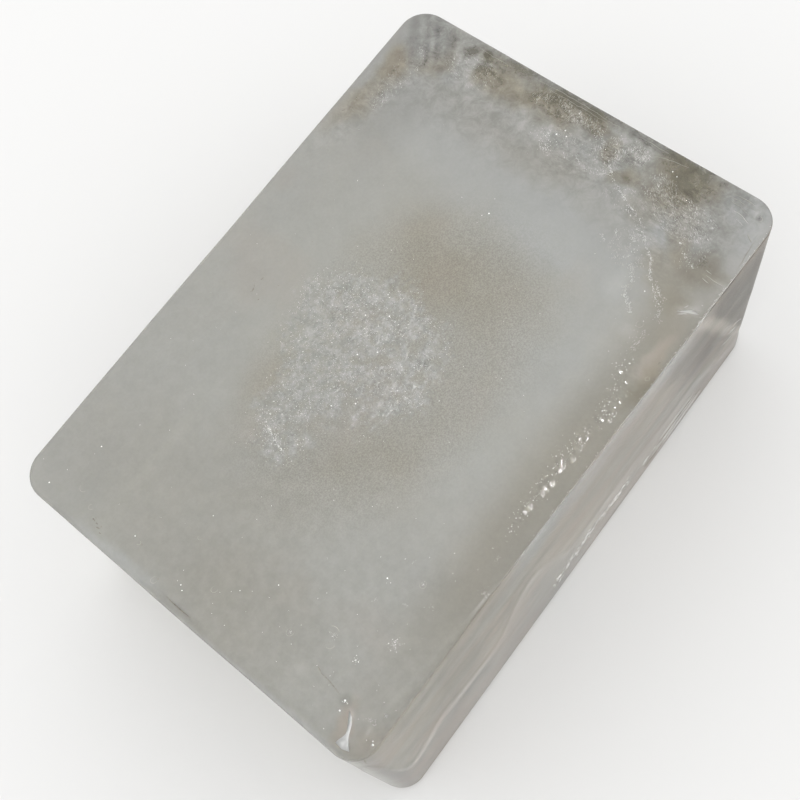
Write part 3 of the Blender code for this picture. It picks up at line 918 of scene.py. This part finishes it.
# fields of needle bubbles: middle x, y, half width, half length, how many, heading
FIELDS = (
    (140.5, 13, 4, 12, 460, 8), (139, -28, 5, 9, 620, 18), (141, -3, 3, 7, 240, 20), (124, -68, 8, 13, 900, 54),
    (131, -50, 6, 7, 420, 45), (125, 2, 7, 9, 200, 35), (134, 58, 7, 12, 320, 50), (128, -18, 7, 9, 420, 40),
    (112, 86, 18, 5, 260, 20), (100, -57, 9, 9, 260, 50), (118, -40, 5, 10, 150, 50), (112, -80, 8, 6, 140, 45),
)
places, headings = [], []
for x, y, rx, ry, many, heading in FIELDS:
    r = np.sqrt(rng.random(many * 2))
    t = rng.uniform(0, 2 * math.pi, many * 2)
    q = np.column_stack([x + rx * 1.2 * r * np.cos(t), y + ry * 1.2 * r * np.sin(t)])
    near = noise(np.column_stack([q * MM, q[:, 0] * 0]), 0.005, 411) > rng.uniform(-0.8, 0.5, len(q))
    q = q[near][:many]
    places.append(q)
    headings.append(np.full(len(q), heading, float))
xy, heading = np.concatenate(places), np.concatenate(headings)
keep = (np.abs(xy[:, 0]) < 147) & (np.abs(xy[:, 1]) < 99)
xy, heading = xy[keep], heading[keep]
lengths = np.exp(rng.normal(math.log(1.7), 0.4, len(xy))).clip(0.6, 4.0)
widths = rng.uniform(0.035, 0.075, len(xy))
bright = rng.random(len(xy)) < 0.18
for name, some, material in (("needle_bubbles", ~bright, hazy), ("needle_glints", bright, white)):
    needles_at(name, xy[some], lengths[some], widths[some], heading[some], 16, material)
print("needles", len(xy))

# strings of tiny bubbles: points in millimetres, how dense, how far they stray
STRINGS = (
    (((129.8, -23.1), (126.9, -26.2), (122.6, -30.9), (118.9, -38.4), (115.9, -44.8), (113.2, -51.6), (108.2, -56.6),
      (103.5, -62.0), (99.6, -66.8), (93.0, -70.9), (90.7, -73.5)), 2.6, 0.22),
    (((118.5, -39.0), (113.6, -44.5), (110.6, -51.6), (105.4, -57.5)), 1.2, 0.5),
    (((97.5, -42.6), (95.2, -45.5)), 4.0, 0.25),
    (((102.7, -46.0), (101.0, -47.8)), 3.0, 0.25),
    (((104.9, -53.6), (101.3, -57.1), (98.7, -58.5), (95.0, -58.3), (92.8, -62.0), (89.1, -63.5), (86.4, -66.5)), 3.0, 0.8),
    (((83.3, -65.4), (79.7, -66.9), (77.0, -69.9), (75.4, -72.6), (73.3, -74.5)), 4.5, 0.7),
    (((90.7, -76.1), (87.5, -79.9), (86.9, -82.4), (83.8, -81.4), (81.9, -83.7), (78.1, -84.8), (77.4, -86.3)), 3.4, 0.7),
    (((90.7, -73.5), (87.0, -77.5), (84.5, -80.5)), 2.5, 0.6),
    (((114.0, -72.2), (110.1, -76.9), (107.0, -82.7), (105.5, -85.8)), 2.2, 0.4),
    (((107.0, -100.9), (102.1, -100.7), (96.6, -100.5), (91.0, -100.5), (83.8, -100.7)), 0.7, 0.3),
    (((-59.0, 25.5), (-61.1, 21.3), (-65.1, 12.6), (-64.9, 9.9)), 4.0, 0.35),
    (((118.0, 4.0), (122.5, 6.5), (125.5, 9.5)), 5.0, 1.6),
    (((141.5, -9.5), (135.5, -15.0), (131.0, -20.0)), 3.0, 1.5),
    (((71.0, -83.5), (66.0, -85.5), (60.0, -84.0)), 2.0, 0.8),
)
xy, heading = [], []
for points, dense, stray in STRINGS:
    points = np.array(points)
    steps = np.concatenate(([0], np.cumsum(np.linalg.norm(np.diff(points, axis=0), axis=1))))
    many = int(steps[-1] * dense * 2.5)
    t = rng.uniform(0, steps[-1], many)
    at = np.column_stack([np.interp(t, steps, points[:, k]) for k in (0, 1)])
    ahead = np.column_stack([np.interp(np.minimum(t + 0.5, steps[-1]), steps, points[:, k]) for k in (0, 1)])
    behind = np.column_stack([np.interp(np.maximum(t - 0.5, 0), steps, points[:, k]) for k in (0, 1)])
    way = np.degrees(np.arctan2(*(ahead - behind).T[::-1]))
    at = at + rng.normal(0, max(stray, 0.34), at.shape) * np.exp(rng.normal(0, 0.5, (many, 1)))
    kept = noise(np.column_stack([at * MM, 0 * t]), 0.0022, 431) > rng.uniform(-0.9, 0.3, many)
    xy.append(at[kept])
    heading.append((way + rng.choice((0, 0, 50, -60), many))[kept])
xy, heading = np.concatenate(xy), np.concatenate(heading)
lengths = np.exp(rng.normal(math.log(0.50), 0.45, len(xy))).clip(0.2, 1.5)
widths = rng.uniform(0.05, 0.11, len(xy))
bright = rng.random(len(xy)) < 0.45
for name, some, material in (("bubble_strings", ~bright, frosty), ("string_glints", bright, glassy)):
    needles_at(name, xy[some], lengths[some], widths[some], heading[some], 14, material, lift=0.0)


# ------------------------------------------------------- single bubbles and rings
def ball(rings=5, around=8):
    """Points and triangles of a small sphere."""
    pts, tri = [(0.0, 0.0, 1.0)], []
    for i in range(1, rings):
        a = math.pi * i / rings
        pts += [(math.sin(a) * math.cos(2 * math.pi * j / around), math.sin(a) * math.sin(2 * math.pi * j / around), math.cos(a)) for j in range(around)]
    pts.append((0.0, 0.0, -1.0))
    last = len(pts) - 1
    for j in range(around):
        k = (j + 1) % around
        tri.append((0, 1 + j, 1 + k))
        for i in range(rings - 2):
            a, b = 1 + i * around, 1 + (i + 1) * around
            tri += [(a + j, b + j, b + k), (a + j, b + k, a + k)]
        tri.append((last, last - around + k, last - around + j))
    return np.array(pts), np.array(tri)


def tubes(name, paths, material, sides=6):
    """Closed tubes with pointed ends: (points in metres, radii in millimetres) for each."""
    pts, tri = [], []
    for path, radii in paths:
        path, radii = np.asarray(path, float), np.broadcast_to(np.asarray(radii, float), len(path)) * MM
        start = sum(len(q) for q in pts)
        way = np.gradient(path, axis=0)
        way /= np.maximum(np.linalg.norm(way, axis=1), 1e-12)[:, None]
        side = np.cross(way, (0.0, 0.0, 1.0))
        lean = np.linalg.norm(side, axis=1) < 1e-3
        side[lean] = (1.0, 0.0, 0.0)
        side /= np.linalg.norm(side, axis=1)[:, None]
        other = np.cross(side, way)
        a = np.arange(sides) * 2 * math.pi / sides
        inner = slice(1, -1)
        ringed = (path[inner, None] + radii[inner, None, None] * (np.cos(a)[None, :, None] * side[inner, None]
                                                                 + np.sin(a)[None, :, None] * other[inner, None]))
        n = len(path) - 2
        pts += [path[:1], ringed.reshape(-1, 3), path[-1:]]
        first, last = start, start + 1 + n * sides
        for j in range(sides):
            k = (j + 1) % sides
            tri.append((first, start + 1 + k, start + 1 + j))
            for i in range(n - 1):
                u, v = start + 1 + i * sides, start + 1 + (i + 1) * sides
                tri += [(u + j, u + k, v + k), (u + j, v + k, v + j)]
            tri.append((last, last - sides + j, last - sides + k))
    ob = mesh_of(name, np.concatenate(pts), tris=np.array(tri), smooth=True)
    sealed(ob, material)
    return ob


BALL, BALL_FACES = ball()
# bright single bubbles: x, y, radius (mm)
DOTS = (
    (128.0, 4.7, 0.55), (131.8, 2.4, 0.45), (129.5, 0.2, 0.45), (113.2, -72.8, 0.4), (141.0, -50.1, 0.4),
    (139.9, -53.1, 0.4), (77.7, 5.8, 0.5), (75.1, 7.9, 0.25), (131.2, -49.3, 0.30), (85.4, -73.5, 0.4), (142.7, 2.3, 0.3), (-81.8, -61.5, 0.42), (-82.5, -63.8, 0.2),
    (-131.3, -78.8, 0.6), (-135.7, -79.6, 0.5), (-138.0, -98.6, 0.5), (-136.9, -97.8, 0.3), (-111.7, 78.5, 0.4), (-138.1, 86.7, 0.45),
    (-111.5, -26.3, 0.3), (-123.2, -14.5, 0.25), (-105.5, 16.3, 0.25), (-136.7, 7.7, 0.35), (-138.2, 5.7, 0.35), (-132.8, 38.4, 0.35),
    (-11.1, 11.9, 0.45), (5.8, 20.8, 0.4), (11.6, 11.6, 0.4), (-5.1, 5.1, 0.45), (-36.6, 6.2, 0.4), (-29.6, -2.0, 0.4),
)
g = np.random.default_rng(31)
dots = [(x, y, r) for x, y, r in DOTS]
for x, y, r, many in ((-101.9, -80.9, 3.0, 12), (-115.9, -72.1, 1.8, 8), (-131, -79, 1.6, 5)):
    for _ in range(many):
        a, d = g.uniform(0, 2 * math.pi), r * math.sqrt(g.random())
        dots.append((x + d * math.cos(a), y + d * math.sin(a), g.uniform(0.10, 0.26)))
for _ in range(420):
    x, y = g.uniform(-146, 120), g.uniform(-98, 98)
    if g.random() < 0.25 + 0.75 * ramp(np.array(x), -20, -110) * ramp(np.array(y), 40, -20):
        dots.append((x, y, g.uniform(0.08, 0.20)))
dots = np.array(dots)
dots = dots[(np.abs(dots[:, 0]) < 147) & (np.abs(dots[:, 1]) < 100)]
sealed(scattered("round_bubbles", upper(dots[:, :2], -0.02) - np.column_stack([0 * dots[:, 2], 0 * dots[:, 2], dots[:, 2] * 0.55 * MM]),
                 np.repeat(dots[:, 2:], 3, 1) * MM, BALL, BALL_FACES, smooth=True), glassy)

# ragged little bursts of white strokes: x, y, radius (mm), how many
BURSTS = (
    (-101.9, -80.9, 3.3, 90), (-75, -75, 1.6, 22), (-86, -74.5, 1.3, 14), (-63, -97.4, 2.6, 44), (-113.8, -58.4, 2.4, 26), (-115.9, -72.1, 1.7, 14),
    (-131.0, -92.0, 2.2, 26), (-126, -95.5, 1.6, 14), (-92, -63, 1.5, 10), (-80, -84, 1.5, 12), (-70, -66, 1.2, 8), (-123.6, -42.9, 1.5, 12), (-48, -93, 2.0, 18),
)
xy = []
for x, y, r, many in BURSTS:
    a, d = g.uniform(0, 2 * math.pi, many), r * np.abs(g.normal(0, 0.5, many))
    xy.append(np.column_stack([x + d * np.cos(a), y + d * np.sin(a)]))
xy = np.concatenate(xy)
needles_at("burst_strokes", xy, g.uniform(0.4, 1.4, len(xy)), g.uniform(0.04, 0.085, len(xy)), g.uniform(0, 180, len(xy)), 10, frosty)

# painted glints: tiny white facets along the wet band and on the front right rim
xs = np.concatenate([g.normal(m_, s_, k) for m_, s_, k in ((-18, 7, 60), (2, 8, 70), (10, 4, 30), (30, 4, 40), (46, 5, 36), (62, 6, 36), (-36, 6, 16))])
ys = np.interp(xs, (-50, -34, -20, 0, 15, 27, 38, 48, 66, 80), (-92, -91, -90, -89, -90, -92, -90.5, -86, -83, -78)) + g.normal(0, 2.0, len(xs))
half = np.exp(g.normal(math.log(0.10), 0.35, len(xs))).clip(0.05, 0.24)
spots = upper(np.column_stack([xs, ys]), 0.01)
xs = np.concatenate([g.uniform(58, 142, 90), g.uniform(-34, 60, 50)])
edge = rounded(np.column_stack([xs * MM, np.full(len(xs), -WIDTH / 2) + g.uniform(0.0001, 0.0009, len(xs)), np.full(len(xs), HEIGHT)]))
lean_out = np.tile((0.0, -0.5, 0.85), (len(xs), 1))
edge = edge + lean_out * relief(edge, lean_out)[:, None]
half = np.concatenate([half, g.uniform(0.05, 0.13, len(xs))])
sealed(scattered("painted_sparkles", np.concatenate([spots, edge]), np.column_stack([half * g.uniform(1.0, 2.2, len(half)), half, half]) * MM, OCTA, OCTA_FACES), white)

# bubbles seen as rings or parts of rings: x, y, radius, from, to (degrees), thickness (mm)
RINGS = (
    (-142.1, 18.6, 1.5, 0, 300, 0.10), (-134.1, 35.2, 1.0, 150, 380, 0.08), (-134.8, 63.2, 1.3, 20, 290, 0.08),
    (-129.4, -5.3, 1.4, 40, 330, 0.07), (-123.6, -42.9, 1.7, 0, 320, 0.07), (-75, -75, 1.6, 90, 380, 0.07), (-113.6, -57.8, 3.2, -40, 60, 0.13),
    (-117.2, -59.6, 2.0, 150, 300, 0.08), (131.0, 0.5, 1.4, 0, 360, 0.10), (128.6, 3.6, 1.1, 90, 360, 0.10), (133.0, 2.9, 1.0, 0, 300, 0.08),
    (142.1, -94.2, 1.5, 200, 380, 0.10), (-130, 72, 2.2, 90, 250, 0.09), (83.8, -66.8, 1.0, 0, 360, 0.10), (-116.2, 14.5, 1.0, 60, 260, 0.06),
    (71.5, -80.6, 1.6, 30, 330, 0.10), (52.5, -97.6, 0.9, 0, 360, 0.08), (-68.5, 4.2, 1.0, 0, 300, 0.08),
)
paths = []
for x, y, r, a, b, thick in RINGS:
    t = np.radians(np.linspace(a, b, max(10, int((b - a) / 18))))
    wobble = 1 + 0.10 * np.sin(2 * t + x)
    q = np.column_stack([x + r * wobble * np.cos(t), y + r * wobble * np.sin(t)])
    radii = thick * (0.45 + 0.55 * np.sin(np.linspace(0, math.pi, len(t)))) if b - a < 360 else np.full(len(t), thick * 0.8)
    paths.append((upper(q, -0.02), radii))
tubes("ring_bubbles", paths, faint)


# --------------------------------------------------------------- cracks and lines
def drawn(points, lift, wander_mm=0.25, step=0.6, seed=1, where=None):
    """A line through the given points, a little unsteady, lying in the surface."""
    g = np.random.default_rng(seed)
    points = np.array(points, float)
    steps = np.concatenate(([0], np.cumsum(np.linalg.norm(np.diff(points, axis=0), axis=1))))
    t = np.linspace(0, steps[-1], max(4, int(steps[-1] / step)))
    q = np.column_stack([np.interp(t, steps, points[:, k]) for k in (0, 1)])
    drift = np.cumsum(g.normal(0, wander_mm * 0.35, q.shape), axis=0)
    drift -= np.outer(t / t[-1], drift[-1])
    q = q + drift
    return (where or upper)(q, lift)


def tapered(count, thick, ends=0.15):
    return thick * (ends + (1 - ends) * np.sin(np.linspace(0, math.pi, count)) ** 0.6)


DARK_LINES = (
    (((-128.6, -63.4), (-129.5, -69.0), (-130.9, -76.0)), 0.13), (((-127.4, -61.0), (-128.4, -63.6)), 0.2), (((-144.4, -99.2), (-145.2, -101.2)), 0.2),
    (((-6.3, 71.5), (-8.2, 71.9)), 0.22), (((-14.8, 71.3), (-13.0, 71.9)), 0.25), (((-14.8, 71.3), (-15.6, 72.3)), 0.13), (((-12.8, 71.9), (-11.5, 73.0)), 0.10),
    (((-10.0, 74.0), (-11.0, 74.6)), 0.14), (((-16.1, 66.2), (-16.8, 66.4)), 0.2), (((-5.4, 63.0), (-6.0, 63.4)), 0.2), (((20.1, 64.5), (20.6, 64.5)), 0.2),
    (((-138.2, 59.3), (-138.6, 57.6)), 0.28), (((-139.0, 57.0), (-138.8, 55.4)), 0.2), (((-140.1, 55.4), (-140.0, 53.4)), 0.24), (((-138.6, 54.0), (-138.9, 53.0)), 0.2),
    (((-137.4, 58.6), (-137.2, 57.8)), 0.16), (((-141.2, 52.6), (-141.4, 51.4)), 0.2), (((-133.7, 34.0), (-134.2, 33.0)), 0.18), (((-141.0, 17.0), (-140.4, 18.0)), 0.18),
    (((82.0, 97.0), (84.5, 96.2)), 0.18), (((86.0, 94.5), (87.5, 92.6)), 0.16), (((90.5, 95.6), (92.5, 95.9)), 0.2), (((95.6, 92.0), (97.2, 91.0)), 0.14),
    (((79.0, 93.0), (80.2, 91.6)), 0.13), (((99.5, 95.4), (101.0, 96.6)), 0.15), (((-144.1, 9.6), (-144.6, 2.0), (-144.8, -5.3)), 0.22),
    (((116.2, -100.0), (120.5, -100.0), (126.5, -99.6), (133.0, -98.8)), 0.13), (((44.2, 83.0), (45.4, 83.6)), 0.12), (((60.6, -97.4), (62.6, -97.6)), 0.22),
    (((138.0, 30.0), (139.6, 27.2)), 0.16), (((141.0, 14.4), (141.8, 12.0)), 0.18), (((140.2, -12.0), (141.6, -15.0)), 0.18), (((139.8, 44.0), (140.6, 41.0)), 0.14),
)
PALE_LINES = (
    (((106.9, -90.6), (106.1, -95.1), (106.4, -99.6)), 0.24), (((104.4, -90.0), (104.0, -94.0)), 0.10), (((108.6, -89.2), (108.4, -92.6)), 0.09),
    (((85.4, -90.6), (87.4, -92.4), (89.8, -94.4), (90.2, -97.0)), 0.34), (((84.2, -90.9), (85.8, -92.8), (87.0, -94.6)), 0.20), (((88.2, -91.6), (90.6, -92.8)), 0.16),
    (((133.0, -94.4), (131.6, -96.4), (130.4, -98.2)), 0.26), (((146.0, -78.0), (147.0, -84.0), (146.6, -90.0)), 0.14), (((144.6, -77.0), (145.0, -82.6), (144.2, -88.0)), 0.12),
    (((142.6, -79.0), (142.6, -84.0), (141.2, -89.6)), 0.10), (((139.6, -83.0), (139.2, -88.0), (137.4, -92.0)), 0.12), (((136.6, -86.0), (135.4, -90.6)), 0.10),
    (((143.4, -39.9), (145.6, -48.0), (146.6, -55.3)), 0.10), (((146.9, 30.0), (147.1, 5.0), (147.0, -20.0)), 0.09), (((145.6, 22.0), (145.9, 2.0), (145.6, -12.0)), 0.08),
    (((147.5, -28.0), (147.6, -44.0)), 0.10), (((146.2, 62.0), (146.3, 42.0)), 0.08), 
    (((120.6, -22.0), (123.2, -25.4), (124.6, -30.0)), 0.12),
)
dark_air = air_material("crack_dark", (0.20, 0.185, 0.155, 1.0), 0.3, 0.3)
dark_paths = [(q, tapered(len(q), t)) for q, t in ((drawn(pts, 0.0, 0.18, 0.35, 60 + k), t) for k, (pts, t) in enumerate(DARK_LINES))]
pale_paths = [(q, tapered(len(q), t)) for q, t in ((drawn(pts, 0.0, 0.22, 0.6, 160 + k), t) for k, (pts, t) in enumerate(PALE_LINES))]
tubes("cracks", dark_paths, dark_air, 5)
edge_lines = [float(np.abs(q[:, 0]).max()) > 0.1425 or float(q[:, 1].min()) < -0.0958 for q, _ in pale_paths]
tubes("pale_lines", [path for path, rim in zip(pale_paths, edge_lines) if not rim], hazy, 5)
tubes("faint_lines", [path for path, rim in zip(pale_paths, edge_lines) if rim], faint, 5)


def front_points(xz, lift=0.0):
    """Points on the front face, from millimetres along it and above the base."""
    p = np.column_stack([np.asarray(xz, float)[:, 0] * MM, np.full(len(xz), -WIDTH / 2), np.asarray(xz, float)[:, 1] * MM])
    moved = rounded(p)
    moved[:, 0] = p[:, 0]
    moved[:, 1] -= relief(moved, np.tile((0.0, -1.0, 0.0), (len(p), 1))) + lift * MM
    return moved


# silvery lines painted as highlights along the ledge of the front face and low on its right: points in millimetres
# (along, up) and thickness
FRONT_GLINT_LINES = (
    (((-24.0, 14.0), (-20.3, 23.5), (-13.5, 27.7), (-5.2, 25.6), (3.2, 27.2), (11.6, 33.1), (18.3, 32.3), (23.4, 29.2), (30.1, 31.0), (40.0, 27.0)), 0.20),
    (((-20.0, 19.0), (-12.0, 25.2), (-2.0, 23.6), (6.0, 27.8), (14.0, 31.6), (24.0, 28.0)), 0.12), (((-6.0, 28.4), (4.0, 30.0), (10.0, 35.8)), 0.10),
    (((54.0, 17.0), (62.0, 15.6), (76.0, 13.0), (90.0, 15.4), (100.0, 15.0)), 0.09), (((57.0, 13.4), (71.3, 10.6), (88.0, 12.4), (98.0, 12.2)), 0.08),
    (((60.0, 19.6), (74.0, 16.6), (86.0, 19.6), (95.0, 21.4)), 0.07), (((64.0, 9.0), (80.0, 7.8), (96.0, 9.6)), 0.07),
    (((122.5, 50.2), (126.0, 48.0), (130.4, 45.1)), 0.36), (((118.0, 44.0), (124.0, 40.0), (128.0, 38.0)), 0.22), (((126.0, 54.0), (131.0, 50.0), (136.0, 44.0)), 0.16),
)
paths = []
for k, (pts, t) in enumerate(FRONT_GLINT_LINES):
    q = drawn(pts, 0.02, 0.25, 0.8, 260 + k, front_points)
    paths.append((q, tapered(len(q), t) * (1 + 0.35 * noise(q, 0.004, 421))))
tubes("front_glint_lines", paths, frosty, 5)

# fine pale and dark lines side by side, low on the right
g = np.random.default_rng(79)
fine = {True: [], False: []}
for k in range(13):
    z = 9.0 + 1.45 * k
    a, b = 50 + 12 * g.random() + 0.6 * abs(k - 5), 100 - 14 * g.random() + (6 if k < 6 else 0)
    xs = np.linspace(a, b, 9)
    zs = z + 0.035 * (xs - 75) + 0.35 * np.sin(xs * 0.16 + 0.3 * k) + g.normal(0, 0.12, 9)
    q = drawn(np.column_stack([xs, zs]), 0.03, 0.10, 0.9, 290 + k, front_points)
    fine[k % 2 == 0].append((q, tapered(len(q), g.uniform(0.045, 0.085)) * (1 + 0.5 * noise(q, 0.005, 423 + k))))
tubes("fine_pale_lines", fine[True], glassy, 5)
tubes("fine_dark_lines", fine[False], dark_air, 5)

# painted highlights: pale crescents and flecks where the ledge catches the light
g = np.random.default_rng(77)
ledge_glints = []
for k in range(110):
    x = g.uniform(-26, 40)
    z = 28.0 + g.normal(0, 3.0) + 1.4 * math.sin(x * 0.14) - 6 * ramp(np.array(x), -12, -28)
    span, tall = g.uniform(0.4, 1.7), g.uniform(-1.2, 1.2)
    t = np.linspace(-1, 1, 6)
    xz = np.column_stack([x + span * t, z + tall * t + g.uniform(-1.1, 1.1) * (1 - t * t)])
    ledge_glints.append((front_points(xz, 0.03), tapered(6, g.uniform(0.07, 0.19))))
for k in range(12):
    x, z = g.uniform(50, 62), 21 + g.normal(0, 1.0)
    t = np.linspace(-1, 1, 5)
    ledge_glints.append((front_points(np.column_stack([x + g.uniform(0.6, 1.6) * t, z + g.uniform(-0.8, 0.8) * t]), 0.03), tapered(5, g.uniform(0.08, 0.16))))
tubes("ledge_glint_tubes", ledge_glints, white, 6)

# a pale split that reaches the front rim, made of narrow blades side by side
g = np.random.default_rng(78)
blades = []
for k in range(9):
    u = k / 8
    low, high = g.uniform(0.0, 0.25) + 0.25 * u, g.uniform(0.70, 1.0) - 0.2 * u
    t = np.linspace(low, high, 8)
    x = 84.6 + 5.2 * t + 4.6 * u * t ** 1.6
    y = -88.8 - 10.6 * t ** 1.15 + 0.8 * u
    blades.append((upper(np.column_stack([x, y]), -0.04), tapered(8, 0.22 * (1 - u) ** 1.3 + 0.05)))
tubes("pale_split", blades, hazy, 6)

# white sliver at the front left corner: a thin split with a bright face
outline = np.array(((-130.1, -80.7), (-133.4, -84.0), (-136.5, -85.9), (-141.0, -87.0), (-146.4, -86.0), (-146.9, -89.6), (-145.9, -92.6), (-143.6, -90.6), (-139.5, -88.4), (-135.4, -86.6), (-132.2, -84.2)))
t = np.linspace(0, 1, 9)
middle = outline.mean(0) * 0.4 + np.array((-143.5, -88.6)) * 0.6
fan = [(1 - a) * outline + a * middle for a in (0.0, 0.35, 0.7)]
top_pts = [upper(q, 0.02 + h) for q, h in zip(fan, (-0.25, 0.04, 0.10))] + [upper(middle[None], 0.08)]
low_pts = [q - np.array((0, 0, 0.0008)) for q in top_pts]
low_pts[0] = top_pts[0] - np.array((0, 0, 0.0004))
k = len(outline)
tri = []
for layer, flip in ((0, False), (1, True)):
    o = layer * (3 * k + 1)
    for i in range(k):
        j = (i + 1) % k
        rows = []
        for a in (0, 1):
            rows += [(o + a * k + i, o + (a + 1) * k + i, o + (a + 1) * k + j), (o + a * k + i, o + (a + 1) * k + j, o + a * k + j)]
        rows.append((o + 2 * k + i, o + 3 * k, o + 2 * k + j))
        tri += [r[::-1] if flip else r for r in rows]
for i in range(k):
    j = (i + 1) % k
    o = 3 * k + 1
    tri += [(i, o + j, o + i), (i, j, o + j)]
tri = np.array(tri)[:, ::-1]
sealed(mesh_of("pale_sliver", np.concatenate(top_pts + low_pts), tris=tri), air_material("air_sliver", (0.50, 0.505, 0.50, 1.0), 0.45, 0.35))


# ------------------------------------------------------------- floor, light, camera
def make_floor():
    ob = mesh_of("floor", np.array(((-4, -4, 0), (4, -4, 0), (4, 4, 0), (-4, 4, 0)), float) - np.array((0, 0, 0.0003)),
                 quads=np.array(((0, 1, 2, 3),)), smooth=False)
    m = Nodes("floor")
    m.surface.inputs["Base Color"].default_value = (0.74, 0.74, 0.74, 1.0)
    m.surface.inputs["Roughness"].default_value = 0.9
    m.surface.inputs["Specular IOR Level"].default_value = 0.0
    ob.data.materials.append(m.material)


def make_world():
    world = bpy.data.worlds.new("studio")
    world.use_nodes = True
    back = world.node_tree.nodes["Background"]
    tree = world.node_tree
    where = tree.nodes.new("ShaderNodeTexCoord")
    split = tree.nodes.new("ShaderNodeSeparateXYZ")
    tree.links.new(where.outputs["Generated"], split.inputs[0])
    shade = tree.nodes.new("ShaderNodeMapRange")
    tree.links.new(split.outputs["Z"], shade.inputs["Value"])
    for name, value in (("From Min", 0.0), ("From Max", 1.0), ("To Min", 0.76), ("To Max", 1.60)):
        shade.inputs[name].default_value = value
    tree.links.new(shade.outputs[0], back.inputs["Strength"])
    back.inputs["Color"].default_value = (1.0, 0.998, 0.99, 1.0)
    bpy.context.scene.world = world


def area(name, at, look, size, power, size_y=None):
    light = bpy.data.lights.new(name, "AREA")
    light.shape = "RECTANGLE"
    light.size, light.size_y = size, size_y or size
    light.energy = power
    ob = bpy.data.objects.new(name, light)
    bpy.context.scene.collection.objects.link(ob)
    direction = (Vector(look) - Vector(at)).normalized()
    ob.rotation_euler = direction.to_track_quat("-Z", "Y").to_euler()
    ob.location = at
    return ob


FOCAL = 1322.4  # pixels, in an 800-pixel frame
CAMERA_AT = Vector((-0.4286 * LENGTH - MID[0], -0.6628 * LENGTH - MID[1], 1.7790 * LENGTH + HEIGHT))
CAMERA_RIGHT = Vector((0.6141, -0.7774, -0.1363))
CAMERA_LOOK = Vector((0.1934, 0.3156, -0.9290))


def make_camera():
    data = bpy.data.cameras.new("camera")
    data.sensor_width = 36.0
    data.lens = FOCAL / 800 * 36.0
    data.clip_start, data.clip_end = 0.01, 50
    ob = bpy.data.objects.new("camera", data)
    bpy.context.scene.collection.objects.link(ob)
    look = CAMERA_LOOK.normalized()
    right = (CAMERA_RIGHT - look * CAMERA_RIGHT.dot(look)).normalized()
    up = right.cross(look)
    turn = Matrix((right, up, -look)).transposed().to_4x4()
    ob.matrix_world = Matrix.Translation(CAMERA_AT) @ turn
    bpy.context.scene.camera = ob


make_floor()
make_world()
key = area("key", (0.46, -0.46, 1.60), (0.02, -0.09, 0.13), 0.9, 74, 0.10)
key.visible_diffuse = False  # it only puts glints on wet ice
make_camera()
bpy.context.scene.view_settings.view_transform = "Standard"
